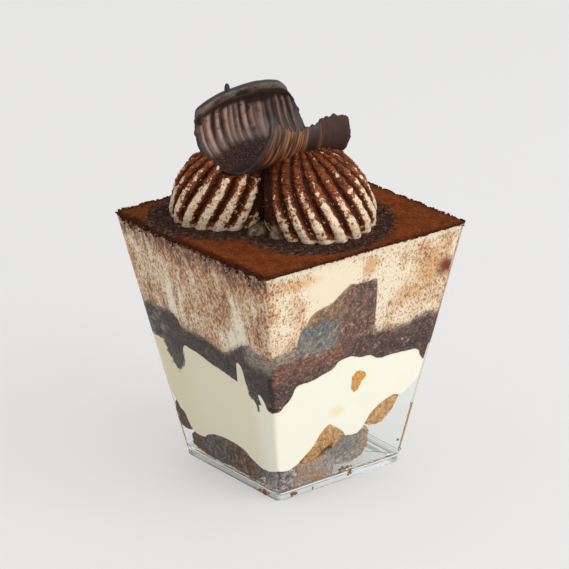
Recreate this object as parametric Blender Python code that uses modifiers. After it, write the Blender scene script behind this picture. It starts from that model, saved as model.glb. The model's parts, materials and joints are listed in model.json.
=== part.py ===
"""A tiramisu in a clear, square, tapered dessert cup.

The cup stands at the origin with its sides square to X and Y and +Z up. From the floor up it holds
chopped sponge fingers, cream, a dark chocolate layer with a piece of sponge standing on it, more cream and
a flat bed of cocoa. Two ridged mounds of piped cream and a curl of chocolate stand on the cocoa.
The -Y and -X sides are the ones whose layers are shaped most closely. Lengths are in metres.
"""

import math

import bmesh
import bpy
from mathutils import Matrix, Vector

MM = 0.001
GAP = 0.3 * MM  # kept between pieces that touch
CUTTER_OVERSHOOT = 2 * MM

# The cup
CUP_TOP = 66 * MM
CUP_BASE = 41 * MM
CUP_HEIGHT = 68.5 * MM
CUP_WALL = 1.1 * MM
CUP_CORNER = 2.0 * MM
FLOOR_TOP = 2.6 * MM
FOOT_RECESS = 1.1 * MM
FOOT_WIDTH = 1.9 * MM
COCOA_THICKNESS = 1.5 * MM

# The layers: cells along a side, and the height of each border at the cup's corners
LAYER_CELLS = 15
CORNERS = ("front_left", "front_right", "back_right", "back_left")
SPONGE_TOP = {
    "corners": (10.3, 28.0, 11.0, 23.5),
    "front": ((-18, 9.6), (-14.5, 11.2), (-10, 15.6), (-6, 19.7), (-3.2, 17.6), (-0.5, 14.8), (4.5, 14.7),
              (7.5, 19.0), (13, 22.4), (19, 23.8), (22.5, 25.2)),
    "left": ((-18, 9.0), (-12, 11.2), (-6, 12.4), (3, 12.3), (9, 9.7), (14.8, 8.8), (17, 13.8), (21, 17.4)),
    "right": ((-16, 24.0), (-8, 19.5), (2, 14.0), (12, 11.5)),
    "back": ((-16, 19.0), (-8, 13.0), (2, 12.2), (12, 14.0)),
}
CREAM_TOP = {
    "corners": (28.6, 33.0, 34.0, 34.6),
    "front": ((-24.2, 29.0), (-21, 31.4), (-18.5, 34.6), (-10, 36.0), (-5, 38.5), (-1, 38.6), (7, 36.1),
              (14, 35.6), (21, 34.9)),
    "left": ((-23, 28.9), (-20, 32.2), (-16.5, 33.6), (-13.8, 38.6), (-11.4, 33.4), (-5, 34.2), (4, 35.4),
             (11, 35.2), (14.5, 31.8), (18.5, 34.2)),
    "right": ((-18, 35.0), (-8, 36.5), (4, 34.0), (14, 36.0)),
    "back": ((-18, 35.5), (-8, 33.5), (4, 37.0), (16, 35.0)),
}
CHOCOLATE_TOP = {
    "corners": (44.6, 44.2, 44.4, 44.4),
    "front": ((-20, 45.0), (-8, 44.6), (4, 44.4), (9, 43.4), (16, 43.6), (22, 44.8)),
    "left": ((-24, 43.4), (-19, 45.8), (-13, 42.9), (-8, 40.7), (0, 42.0), (8, 42.6), (13, 45.3), (21, 45.4)),
    "right": ((-18, 43.2), (-6, 44.8), (8, 42.2), (18, 44.0)),
    "back": ((-18, 42.6), (-4, 44.6), (8, 42.4), (18, 45.0)),
}

# Chopped sponge fingers: the side of the cup each one shows at, how far it reaches in from the wall,
# and along that side its place, lowest and highest point, in millimetres
SPONGE_LOW = 2.95
SPONGES = (
    ("sponge_slab", "front", 8.6, ((-13.6, 9.5, 11.6), (-10.5, 9.3, 15.4), (-6, 12.0, 19.6), (-3, 14.0, 17.6),
                                   (-1.2, 15.0, 16.2))),
    ("sponge_lens", "front", 7.6, ((6.7, 15.4, 19.0), (9.5, 14.3, 21.0), (13, 14.9, 22.8), (15.6, 17.6, 23.0),
                                   (17.3, 20.6, 22.6))),
    ("sponge_low", "front", 8.2, ((-3.8, 4.6, 13.2), (-1, 4.8, 14.0), (3, 5.2, 15.0), (6.5, 6.0, 14.6),
                                  (8.3, 8.2, 12.6))),
    ("sponge_front", "front", 8.2, ((-19.4, SPONGE_LOW, 12.0), (-14.2, SPONGE_LOW, 9.0),
                                    (-9, SPONGE_LOW, 8.7), (-4.3, SPONGE_LOW, 8.9))),
    ("sponge_left", "left", 8.2, ((-10.8, SPONGE_LOW, 13.0), (-5.6, SPONGE_LOW, 14.0), (-1.9, 3.4, 13.0))),
    ("sponge_left_mid", "left", 7.8, ((-1.5, 3.4, 12.6), (2.4, SPONGE_LOW, 13.0), (6, 3.2, 11.4))),
    ("sponge_left_end", "left", 8.2, ((6.4, 3.2, 11.0), (10, SPONGE_LOW, 9.8), (14, 3.4, 8.4),
                                      (16.2, 4.8, 7.2))),
    ("sponge_high", "left", 6.6, ((15.6, 8.6, 14.0), (19, 8.2, 16.0), (21.4, 9.2, 16.4))),
    ("sponge_back", "back", 8.2, ((-10.8, SPONGE_LOW, 12.4), (-5, SPONGE_LOW, 13.2), (0.6, 3.4, 12.4))),
    ("sponge_back_end", "back", 8.2, ((1.0, 3.4, 13.0), (9, SPONGE_LOW, 14.4), (19.4, SPONGE_LOW, 13.0))),
    ("sponge_right", "right", 8.2, ((-3.5, 4.2, 12.6), (3, SPONGE_LOW, 14.6), (10.8, SPONGE_LOW, 12.8))),
)
REACH_CELLS = 4
SIDE_ROOM = 0.05 * MM  # kept to the layers' own sides, so that a layer's space covers a piece's side
CORNER_ROOM = 0.4 * MM  # kept in the cup's rounded corners
CORE_INSET = 8.7 * MM  # how far the middle of the sponge stays from the walls
CORE_HIGH = 18 * MM
CORE_CELLS = 6

# Pieces held in the cream against the front: how far each reaches in, then stations as above.
# The wedge of soaked sponge stands on the dark layer, so its low points are cut to that layer's top.
WEDGE_LOW = 42
WEDGE = (12.0, ((-19.6, WEDGE_LOW, 50.4), (-18.8, WEDGE_LOW, 53.0), (-15, WEDGE_LOW, 55.2),
                (-10, WEDGE_LOW, 56.6), (-5, WEDGE_LOW, 60.2), (0, WEDGE_LOW, 60.2), (3.4, WEDGE_LOW, 59.8),
                (4.6, WEDGE_LOW, 58.0)))
BIT = (1.6, ((0.2, 28.0, 31.6), (1.8, 26.4, 33.2), (3.4, 28.6, 32.6), (4.8, 30.4, 31.8)))

# The piped cream: centre, half lengths along and across, height, fullness, lean of the tip, ridges, twist
VIEW_TURN = math.radians(-37.4)  # the direction in which the two mounds stand side by side
SIDEWAYS = Vector((math.cos(VIEW_TURN), math.sin(VIEW_TURN), 0))
AWAY = Vector((-math.sin(VIEW_TURN), math.cos(VIEW_TURN), 0))
MOUNDS = (
    ("piped_cream_left", (-13.0, 11.7), (14.3, 13.3), 19.8, 2.9, (0.7, -4.5), 17, 32),
    ("piped_cream_right", (3.6, -8.4), (15.5, 18.6), 20.3, 2.5, (-1.9, 4.8), 19, -24),
)
RIDGE_DEPTH = 1.9 * MM
POINTS_PER_RIDGE = 4
MOUND_ROWS = 10
FOOT_TUCK = 0.06  # how much narrower a mound is at its foot
CLEFT_ALONG = -6.3 * MM  # where the mounds press together, measured along SIDEWAYS
DABS = (
    ("cream_dab_left", (-13.8, -4.5), (2.9, 2.3, 2.6)),
    ("cream_dab_right", (-11.2, -10.2), (2.6, 2.4, 3.2)),
)

# The chocolate curl: a sheet bent round an axis that runs nearly along X above the mounds. Angles are
# in degrees above the axis. Each end runs from its place at the lip, by a slant and a bulge, in millimetres.
CURL_CENTRE = (-5.9 * MM, 2.0 * MM, CUP_HEIGHT + 25.4 * MM)
CURL_TURN = math.radians(-2.8)
CURL_RADIUS = 10.1 * MM
CURL_THICKNESS = 1.3 * MM
CURL_LIP = 50
CURL_LIP_RISE = 14
CURL_LIP_CORNER = 9
CURL_LIP_FLARE = 0.9 * MM
CURL_FRONT = 201
CURL_FRONT_FALL = 11
CURL_DIP = 12
CURL_LEFT = (-16.1, 11.5, -2.3)
CURL_RIGHT = (12.1, 6.8, 4.6)
CURL_REST = (-15 * MM, 21 * MM)  # the stretch of the axis below which the mounds are hollowed
CURL_CELLS = (14, 20)


def clear_scene():
    for old in list(bpy.data.objects):
        bpy.data.objects.remove(old)


def new_collection(name):
    collection = bpy.data.collections.new(name)
    bpy.context.scene.collection.children.link(collection)
    return collection


def new_material(name, colour, roughness, transmission=0.0):
    material = bpy.data.materials.new(name)
    material.use_nodes = True
    shader = material.node_tree.nodes["Principled BSDF"]
    shader.inputs["Base Color"].default_value = (*colour, 1)
    shader.inputs["Roughness"].default_value = roughness
    shader.inputs["Metallic"].default_value = 0
    shader.inputs["Transmission Weight"].default_value = transmission
    return material


def new_object(name, bm, collection, material=None):
    bmesh.ops.recalc_face_normals(bm, faces=bm.faces)
    mesh = bpy.data.meshes.new(name)
    bm.to_mesh(mesh)
    bm.free()
    obj = bpy.data.objects.new(name, mesh)
    collection.objects.link(obj)
    if material:
        mesh.materials.append(material)
    return obj


def shade_round(obj, angle=40):
    obj.data.shade_smooth()
    obj.data.set_sharp_from_angle(angle=math.radians(angle))


def boolean(obj, cutter, operation="DIFFERENCE"):
    cut = obj.modifiers.new(cutter.name, "BOOLEAN")
    cut.operation = operation
    cut.object = cutter
    cut.solver = "EXACT"


def as_cutter(obj):
    obj.data.shade_flat()
    obj.hide_render = True
    obj.display_type = "WIRE"
    return obj


def cup_half(z):
    """Half the cup's outer width at height z."""
    return (CUP_BASE + (CUP_TOP - CUP_BASE) * z / CUP_HEIGHT) / 2


def filling_half(z):
    """Half the width that the filling has at height z."""
    return cup_half(z) - CUP_WALL - GAP


def along(points, x):
    """The height at x of a smooth line through the points."""
    if x <= points[0][0]:
        return points[0][1]
    if x >= points[-1][0]:
        return points[-1][1]
    i = max(k for k, point in enumerate(points[:-1]) if point[0] <= x)
    before, start, end, after = (points[min(max(k, 0), len(points) - 1)] for k in (i - 1, i, i + 1, i + 2))
    span = end[0] - start[0]
    leave = (end[1] - before[1]) / (end[0] - before[0]) * span
    arrive = (after[1] - start[1]) / (after[0] - start[0]) * span
    t = (x - start[0]) / span
    return (
        (2 * t**3 - 3 * t**2 + 1) * start[1]
        + (t**3 - 2 * t**2 + t) * leave
        + (3 * t**2 - 2 * t**3) * end[1]
        + (t**3 - t**2) * arrive
    )


def border(shape):
    """A surface over the cup's width, stretched between its lines at the four sides."""
    corner = dict(zip(CORNERS, shape["corners"]))
    ends = {
        "front": ("front_left", "front_right"),
        "right": ("front_right", "back_right"),
        "back": ("back_left", "back_right"),
        "left": ("front_left", "back_left"),
    }
    sides = {}
    for side, (start, end) in ends.items():
        points = [(x * MM / filling_half(z * MM), z) for x, z in shape[side]]
        sides[side] = [(-1, corner[start]), *points, (1, corner[end])]

    def height(u, v):
        s = (u + 1) / 2
        t = (v + 1) / 2
        ruled = (1 - t) * along(sides["front"], u) + t * along(sides["back"], u)
        ruled += (1 - s) * along(sides["left"], v) + s * along(sides["right"], v)
        corners = (1 - t) * ((1 - s) * corner["front_left"] + s * corner["front_right"])
        corners += t * ((1 - s) * corner["back_left"] + s * corner["back_right"])
        return (ruled - corners) * MM

    return height


def grid_cube(cells_x, cells_y):
    """A cube from -1 to 1 whose top and bottom are grids."""
    bm = bmesh.new()
    bmesh.ops.create_cube(bm, size=2)
    for axis, cells in enumerate((cells_x, cells_y)):
        lengthwise = [e for e in bm.edges if abs(e.verts[0].co[axis] - e.verts[1].co[axis]) > 1]
        bmesh.ops.subdivide_edges(bm, edges=lengthwise, cuts=cells - 1, use_grid_fill=True)
    return bm


def block(name, bottom, top, cells, collection, material=None, inset=0.0, corner=CUP_CORNER - CUP_WALL):
    """A block between two surfaces that fills the cup's width at each height, less inset at each side."""
    pull = corner * (1 - math.sqrt(0.5))
    bm = grid_cube(cells, cells)
    for vert in bm.verts:
        u, v, side = vert.co
        z = (top if side > 0 else bottom)(u, v)
        reach = filling_half(z) - inset
        if abs(u * v) > 0.999:
            reach -= pull
        vert.co = (reach * u, reach * v, z)
    bm.normal_update()
    for face in bm.faces:
        face.smooth = abs(face.normal.z) > 0.5
    return new_object(name, bm, collection, material)


def at_side(side, across, depth, z):
    """The point at height z that lies depth in from the filling's side, and across along it."""
    inward = filling_half(z) - SIDE_ROOM - depth
    room = filling_half(z) - CORNER_ROOM
    across = max(-room, min(room, across))
    return {
        "front": Vector((across, -inward, z)),
        "back": Vector((across, inward, z)),
        "left": Vector((-inward, across, z)),
        "right": Vector((inward, across, z)),
    }[side]


def side_piece(name, side, reach, stations, collection, material=None, ease=0.35):
    """A rounded piece against a side of the cup, lofted along that side through stations.

    Each station is its place along the side, its lowest and its highest point, in millimetres. Towards
    its inner end the piece thins by the share ease, so that the end is round.
    """
    lows = [(x, low) for x, low, _ in stations]
    highs = [(x, high) for x, _, high in stations]
    centre = (stations[0][0] + stations[-1][0]) / 2
    half = (stations[-1][0] - stations[0][0]) / 2
    bm = grid_cube(max(4, round(half)), REACH_CELLS)
    for vert in bm.verts:
        x, y, level = vert.co
        inward = (y + 1) / 2
        across = centre + half * x
        low, high = along(lows, across), along(highs, across)
        thick = (high - low) / 2 * (1 - ease * inward**3)
        wide = half * x * (1 - ease / 3 * inward**3)
        z = (low + high) / 2 + thick * level
        vert.co = at_side(side, (centre + wide) * MM, reach * inward * MM, z * MM)
    obj = new_object(name, bm, collection, material)
    shade_round(obj)
    return obj


def inlaid(name, layer, reach, stations, parts, cutters, material):
    """A piece held in a layer against the front, and the space that it takes out of the layer."""
    piece = side_piece(name, "front", reach, stations, parts, material, ease=0.3)
    clear = 1.5 * GAP / MM
    middle = (stations[0][0] + stations[-1][0]) / 2
    wider = [(x + math.copysign(clear, x - middle), low - clear, high + clear) for x, low, high in stations]
    space = side_piece(name + "_space", "front", reach + clear, wider, cutters, ease=0.0)
    for vert in space.data.vertices:
        if vert.co.y < MM / 2 - filling_half(vert.co.z):
            vert.co.y -= CUTTER_OVERSHOOT
    boolean(layer, as_cutter(space))
    return piece


def build_cup(parts, cutters, material):
    """A square frustum with rounded upright corners, hollowed from above and recessed below."""

    def frustum(name, low, high, half_at, corner, collection):
        bm = bmesh.new()
        bmesh.ops.create_cone(
            bm,
            cap_ends=True,
            segments=4,
            radius1=half_at(low) * math.sqrt(2),
            radius2=half_at(high) * math.sqrt(2),
            depth=high - low,
            matrix=Matrix.Translation((0, 0, (low + high) / 2)) @ Matrix.Rotation(math.pi / 4, 4, "Z"),
        )
        upright = [e for e in bm.edges if abs(e.verts[0].co.z - e.verts[1].co.z) > (high - low) / 2]
        bmesh.ops.bevel(bm, geom=upright, offset=corner, segments=5, profile=0.5, affect="EDGES")
        return new_object(name, bm, collection)

    def inside_half(z):
        return cup_half(z) - CUP_WALL

    def recess_half(z):
        return cup_half(0) - FOOT_WIDTH

    inner_corner = CUP_CORNER - CUP_WALL
    top = CUP_HEIGHT + CUTTER_OVERSHOOT
    cup = frustum("cup", 0, CUP_HEIGHT, cup_half, CUP_CORNER, parts)
    inside = frustum("cup_inside", FLOOR_TOP, top, inside_half, inner_corner, cutters)
    under = frustum("cup_recess", -CUTTER_OVERSHOOT, FOOT_RECESS, recess_half, inner_corner, cutters)
    for cutter in (inside, under):
        boolean(cup, as_cutter(cutter))
    cup.data.materials.append(material)
    shade_round(cup)


def raised(surface, step):
    return lambda u, v: surface(u, v) + step


def level(z):
    return lambda u, v: z


def build_layers(parts, cutters, cream, chocolate, cocoa):
    """The layers that fill the cup's width, with the spaces below and above the lower cream."""
    sponge_top, cream_top, chocolate_top = (border(shape) for shape in (SPONGE_TOP, CREAM_TOP, CHOCOLATE_TOP))
    cocoa_bottom = CUP_HEIGHT - COCOA_THICKNESS
    lower = block("cream_lower", raised(sponge_top, GAP), cream_top, LAYER_CELLS, parts, cream)
    block("chocolate_layer", raised(cream_top, GAP), chocolate_top, LAYER_CELLS, parts, chocolate)
    upper = block(
        "cream_upper", raised(chocolate_top, GAP), level(cocoa_bottom - GAP), LAYER_CELLS, parts, cream
    )
    block("cocoa_top", level(cocoa_bottom), level(CUP_HEIGHT), 2, parts, cocoa)
    over_sponge = block("cream_space", sponge_top, cream_top, LAYER_CELLS, cutters, corner=0)
    wedge_foot = raised(chocolate_top, GAP)
    under_wedge = block("chocolate_space", cream_top, wedge_foot, LAYER_CELLS, cutters, corner=0)
    return lower, upper, as_cutter(over_sponge), as_cutter(under_wedge)


def build_sponge(parts, cutters, layers, sponge, soaked):
    """The chopped sponge under the lower cream, and the two pieces held in the cream above it."""
    lower, upper, over_sponge, under_wedge = layers
    for name, side, reach, stations in SPONGES:
        boolean(side_piece(name, side, reach, stations, parts, sponge), over_sponge)
    core = block(
        "sponge_core", level(FLOOR_TOP + GAP), level(CORE_HIGH), CORE_CELLS, parts, sponge, inset=CORE_INSET
    )
    boolean(core, over_sponge)
    inlaid("sponge_bit", lower, *BIT, parts, cutters, sponge)
    boolean(inlaid("sponge_wedge", upper, *WEDGE, parts, cutters, soaked), under_wedge)


def build_mound(parts, curl_space, cream, shape):
    """A mound with upright ridges that leans on its neighbour and is flat where the two press together."""
    name, centre, half_lengths, height, fullness, lean, ridges, twist = shape
    foot = Vector((*centre, 0)) * MM
    foot.z = CUP_HEIGHT + GAP
    tip = Vector((*lean, 0)) * MM
    bm = bmesh.new()
    bmesh.ops.create_uvsphere(bm, u_segments=ridges * POINTS_PER_RIDGE, v_segments=2 * MOUND_ROWS, radius=1)
    bmesh.ops.delete(bm, geom=[v for v in bm.verts if v.co.z < -0.001], context="VERTS")
    bmesh.ops.holes_fill(bm, edges=[e for e in bm.edges if e.is_boundary], sides=0)
    for vert in bm.verts:
        rise = max(0, min(1, vert.co.z))
        angle = math.atan2(vert.co.y, vert.co.x)
        spread = (1 - rise**fullness) ** (1 / fullness) * (1 - FOOT_TUCK * max(0, 1 - rise / 0.2))
        groove = RIDGE_DEPTH * (1 - abs(math.sin(ridges * angle / 2))) * min(1, 3 * spread)
        turned = angle + math.radians(twist) * rise
        along_a, along_b = (half * MM * spread - groove for half in half_lengths)
        out = SIDEWAYS * math.cos(turned) * along_a + AWAY * math.sin(turned) * along_b
        vert.co = foot + tip * rise**1.3 + out + Vector((0, 0, height * MM * rise))
    outward = SIDEWAYS if foot.dot(SIDEWAYS) > CLEFT_ALONG else -SIDEWAYS
    cut = bmesh.ops.bisect_plane(
        bm,
        geom=bm.verts[:] + bm.edges[:] + bm.faces[:],
        plane_co=SIDEWAYS * CLEFT_ALONG + outward * GAP / 2,
        plane_no=-outward,
        clear_outer=True,
    )
    bmesh.ops.holes_fill(bm, edges=[e for e in cut["geom_cut"] if isinstance(e, bmesh.types.BMEdge)], sides=0)
    mound = new_object(name, bm, parts, cream)
    boolean(mound, curl_space)
    shade_round(mound, 60)
    return mound


def dab(name, centre, half_x, half_y, height, collection, material=None):
    """A small smooth dome of cream on the cocoa."""
    bm = bmesh.new()
    bmesh.ops.create_uvsphere(bm, u_segments=14, v_segments=10, radius=1)
    bmesh.ops.delete(bm, geom=[v for v in bm.verts if v.co.z < -0.001], context="VERTS")
    bmesh.ops.holes_fill(bm, edges=[e for e in bm.edges if e.is_boundary], sides=0)
    for vert in bm.verts:
        x, y, z = vert.co
        vert.co = Vector((centre[0] + x * half_x, centre[1] + y * half_y, z * height)) * MM
        vert.co.z += CUP_HEIGHT + GAP
    obj = new_object(name, bm, collection, material)
    shade_round(obj)
    return obj


def build_piped_cream(parts, cutters, cream):
    """The two mounds, cut where the curl lies in them, and the two dabs at the foot of their cleft."""
    curl_space = build_curl_space(cutters)
    mounds = [build_mound(parts, curl_space, cream, shape) for shape in MOUNDS]
    for name, centre, (half_x, half_y, height) in DABS:
        dab(name, centre, half_x, half_y, height, parts, cream)
        clear = GAP / MM
        space = dab(name + "_space", centre, half_x + clear, half_y + clear, height + clear, cutters)
        space.location.z = -GAP / 2
        for mound in mounds:
            boolean(mound, as_cutter(space))


def curl_frame():
    """The curl's place: its axis along local X, from the middle of the axis."""
    return Matrix.Translation(CURL_CENTRE) @ Matrix.Rotation(CURL_TURN, 4, "Z")


def build_curl_space(cutters):
    """The space that the curl takes up where it rests in the mounds."""
    radius = CURL_RADIUS + CURL_THICKNESS / 2 + GAP
    bm = bmesh.new()
    bmesh.ops.create_cone(
        bm,
        cap_ends=True,
        segments=48,
        radius1=radius,
        radius2=radius,
        depth=CURL_REST[1] - CURL_REST[0],
        matrix=curl_frame()
        @ Matrix.Translation((sum(CURL_REST) / 2, 0, 0))
        @ Matrix.Rotation(math.pi / 2, 4, "Y"),
    )
    return as_cutter(new_object("curl_space", bm, cutters))


def build_curl(parts, chocolate):
    """A sheet bent to about two thirds of a tube, with slanted ends and a front edge that dips."""
    cells_long, cells_round = CURL_CELLS
    bm = bmesh.new()
    bmesh.ops.create_grid(bm, x_segments=cells_long, y_segments=cells_round, size=0.5)
    for vert in bm.verts:
        s, v = vert.co.x + 0.5, vert.co.y + 0.5
        lip = CURL_LIP + CURL_LIP_RISE * math.sin(math.pi * s**1.2) - CURL_LIP_CORNER * (2 * s - 1) ** 8
        front = CURL_FRONT - CURL_FRONT_FALL * s - CURL_DIP * math.exp(-(((s - 0.35) / 0.2) ** 2))
        angle = math.radians(lip - (lip + front) * v)
        bulge = 4 * v * (1 - v)
        left = CURL_LEFT[0] + CURL_LEFT[1] * v + CURL_LEFT[2] * bulge
        right = CURL_RIGHT[0] + CURL_RIGHT[1] * v + CURL_RIGHT[2] * bulge
        radius = CURL_RADIUS + CURL_LIP_FLARE * max(0, 1 - v / 0.25) ** 2
        length = (left + (right - left) * s) * MM
        vert.co = Vector((length, radius * math.cos(angle), radius * math.sin(angle)))
    bmesh.ops.transform(bm, matrix=curl_frame(), verts=bm.verts)
    curl = new_object("chocolate_curl", bm, parts, chocolate)
    wall = curl.modifiers.new("thickness", "SOLIDIFY")
    wall.thickness = CURL_THICKNESS
    wall.offset = 0
    wall.use_even_offset = True
    shade_round(curl)


def main():
    clear_scene()
    parts = new_collection("tiramisu_cup")
    cutters = new_collection("cutters")
    clear = new_material("clear_plastic", (0.9, 0.92, 0.92), 0.05, transmission=1.0)
    cream = new_material("cream", (0.93, 0.87, 0.68), 0.45)
    dark = new_material("chocolate_sauce", (0.06, 0.035, 0.03), 0.35)
    cocoa = new_material("cocoa", (0.15, 0.045, 0.015), 0.9)
    sponge = new_material("sponge", (0.35, 0.2, 0.09), 0.8)
    soaked = new_material("soaked_sponge", (0.17, 0.1, 0.075), 0.6)
    chocolate = new_material("chocolate", (0.045, 0.022, 0.018), 0.25)
    build_cup(parts, cutters, clear)
    layers = build_layers(parts, cutters, cream, dark, cocoa)
    build_sponge(parts, cutters, layers, sponge, soaked)
    build_piped_cream(parts, cutters, cream)
    build_curl(parts, chocolate)


if __name__ == "__main__":
    main()
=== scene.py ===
"""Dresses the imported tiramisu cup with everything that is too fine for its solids.

Each operator makes one piece, or one group of like pieces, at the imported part's size and place. Object
coordinates are the part's own, in metres, and sizes written in millimetres are multiplied by MM.
"""

import json
import math
from contextlib import contextmanager

import bmesh
import bpy
import numpy as np
from mathutils import Matrix, Vector, noise

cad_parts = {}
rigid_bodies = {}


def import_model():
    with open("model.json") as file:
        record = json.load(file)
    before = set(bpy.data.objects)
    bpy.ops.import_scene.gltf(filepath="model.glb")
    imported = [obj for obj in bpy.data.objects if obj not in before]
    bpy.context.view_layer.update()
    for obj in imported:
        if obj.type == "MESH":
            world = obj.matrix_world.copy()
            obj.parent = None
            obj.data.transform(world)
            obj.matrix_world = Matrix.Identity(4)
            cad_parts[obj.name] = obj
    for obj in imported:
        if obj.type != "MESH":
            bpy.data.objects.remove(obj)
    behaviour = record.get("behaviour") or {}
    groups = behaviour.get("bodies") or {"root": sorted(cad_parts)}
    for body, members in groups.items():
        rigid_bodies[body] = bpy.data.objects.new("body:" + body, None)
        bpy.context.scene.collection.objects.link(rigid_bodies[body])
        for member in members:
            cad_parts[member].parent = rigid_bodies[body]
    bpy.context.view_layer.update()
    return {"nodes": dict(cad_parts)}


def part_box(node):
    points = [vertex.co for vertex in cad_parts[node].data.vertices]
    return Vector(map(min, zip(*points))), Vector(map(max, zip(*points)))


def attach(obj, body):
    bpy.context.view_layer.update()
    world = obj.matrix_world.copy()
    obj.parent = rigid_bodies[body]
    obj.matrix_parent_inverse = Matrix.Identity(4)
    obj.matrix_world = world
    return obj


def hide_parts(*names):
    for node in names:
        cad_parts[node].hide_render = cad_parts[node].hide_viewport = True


bl_info = {
    "name": "Tiramisu Cup",
    "version": (1, 0, 0),
    "blender": (4, 5, 0),
    "location": "View3D > Sidebar > Tiramisu",
    "description": "Dresses the packed tiramisu cup with its layers, piped cream, curl and cocoa",
    "category": "Object",
}

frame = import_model()
MM = 0.001

CUP_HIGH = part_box("cup")[1]
CUP_HEIGHT = CUP_HIGH.z
CUP_TOP_HALF = CUP_HIGH.x
CUP_BASE_HALF = max(v.co.x for v in frame["nodes"]["cup"].data.vertices if v.co.z < 0.1 * MM)
CUP_WALL = 1.1 * MM
CUP_CORNER = 2.0 * MM
FLOOR_TOP = 2.6 * MM
FOOT_RING = 1.9 * MM  # width of the ring that the cup stands on
FOOT_RECESS = 1.1 * MM
INTO_WALL = 0.15 * MM  # how far the filling reaches into the cup's wall, so that no air shows between
NEAR_WALL = 0.62 * MM  # sponge nearer than this to the wall is pressed flat against it
OFF_WALL = 1.3 * MM  # and from here on it is left as it is
SEAT = 0.2 * MM  # how far above the rim the piped cream starts

# ---------------------------------------------------------------- the borders between the layers
# Each border is a surface stretched between its lines at the cup's four sides. A line runs along its
# side through places and heights in millimetres, from corner to corner: x at the front and back, y at
# the left and right.
LAYER_CELLS, BED_CELLS, COVER_CELLS, WEDGE_CELLS, CURL_CELLS = 110, 40, 200, 64, 190
SPONGE_TOP = {
    "corners": (9.4, 30.3, 10.3, 24.8),
    "front": ((-21.5, 9.5), (-18.5, 8.8), (-16.9, 9.0), (-14.5, 10.2), (-12.9, 11.5), (-9.5, 15.1),
              (-7.9, 17.4), (-6.6, 18.7), (-5.5, 19.1), (-4.1, 18.2), (-1.1, 15.9), (0.1, 14.3),
              (2, 13.7), (4.7, 13.8), (6.1, 14.9), (7.1, 16.7), (8.5, 18.8), (10.5, 20.2),
              (13.5, 21.6), (15.7, 22.1), (18.1, 21.5), (20.3, 22.6), (23.1, 24.7), (24.9, 27.3)),
    "left": ((-21.4, 9.4), (-18, 8.4), (-14.8, 8.2), (-11.8, 9.1), (-9, 10.7), (-5.8, 11.6),
             (-0.4, 11.8), (4.6, 11.3), (7.8, 10.2), (10.2, 8.8), (12.8, 8.3), (15.2, 9.0),
             (16.7, 10.7), (17.6, 13.1), (19.8, 14.7), (21.2, 16.7), (22.8, 18.9), (25, 21.7)),
    "right": ((-20, 25.3), (-14, 21.7), (-8, 17.3), (-3, 13.9), (2, 13.5), (7, 12.3), (12, 10.9),
              (18, 11.7)),
    "back": ((-19, 20.3), (-14, 14.9), (-8, 12.5), (-2, 11.3), (4, 12.1), (9, 13.9), (14, 12.5),
             (19, 11.1)),
}
CREAM_TOP = {
    "corners": (27.8, 33.7, 33.7, 34.3),
    "front": ((-26.1, 28.7), (-24.7, 27.9), (-23.3, 27.9), (-21.8, 29.0), (-20.3, 30.3), (-19.4, 31.7),
              (-18.9, 33.3), (-17.9, 34.1), (-13.5, 34.3), (-10.1, 35.1), (-6.9, 36.0), (-5.1, 37.5),
              (-3.3, 38.0), (-1.3, 38.1), (0.9, 37.5), (2.5, 36.9), (5.5, 36.7), (7.1, 35.8),
              (8.7, 34.9), (12.5, 34.9), (17.5, 34.6), (21.1, 34.2), (22.3, 33.3), (23.5, 31.5),
              (24.5, 30.3), (25.3, 30.7), (25.8, 32.1)),
    "left": ((-25.8, 27.9), (-24, 27.6), (-22.3, 28.5), (-21, 30.9), (-19.8, 31.7), (-18, 30.9),
             (-16, 31.9), (-14.6, 33.3), (-14.2, 36.9), (-13.2, 38.5), (-12, 37.9), (-11.5, 34.7),
             (-11, 32.7), (-8.4, 32.9), (-4.4, 33.6), (0.6, 34.2), (4.6, 35.2), (8.6, 35.6),
             (11.8, 35.7), (13.2, 33.3), (15.2, 31.7), (17.2, 32.7), (19, 34.2), (22.6, 34.6),
             (25.6, 34.7)),
    "right": ((-20, 34.3), (-15, 35.7), (-8, 35.1), (-3, 32.9), (4, 33.5), (9, 35.9), (15, 34.9),
              (21, 32.9)),
    "back": ((-20, 34.7), (-14, 32.5), (-9, 33.3), (-3, 35.9), (4, 36.3), (9, 34.1), (16, 32.9),
             (21, 34.9)),
}
CHOCOLATE_TOP = {
    "corners": (43.9, 43.3, 43.7, 43.9),
    "front": ((-25.5, 44.7), (-21.5, 45.2), (-19.5, 45.7), (-16.5, 44.9), (-7.5, 43.9), (4.5, 43.9),
              (6.5, 43.5), (9.5, 42.8), (13.5, 42.7), (17.5, 43.1), (20.5, 44.0), (23.9, 44.3),
              (26.9, 43.5)),
    "left": ((-25.4, 44.3), (-22.4, 44.0), (-19.4, 45.0), (-16, 44.7), (-14, 43.1), (-11.4, 41.7),
             (-8.4, 40.2), (-6.4, 39.7), (-3, 40.5), (2.6, 41.3), (8.6, 41.1), (11.6, 41.9),
             (13.2, 44.1), (16.6, 44.6), (20.6, 44.2), (24.6, 44.6), (27.6, 43.7)),
    "right": ((-20, 42.7), (-14, 43.7), (-7, 44.5), (-1, 43.1), (6, 41.5), (12, 42.3), (18, 43.9)),
    "back": ((-20, 42.7), (-13, 41.9), (-7, 43.5), (-1, 44.5), (6, 42.3), (12, 41.9), (18, 44.1)),
}
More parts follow.
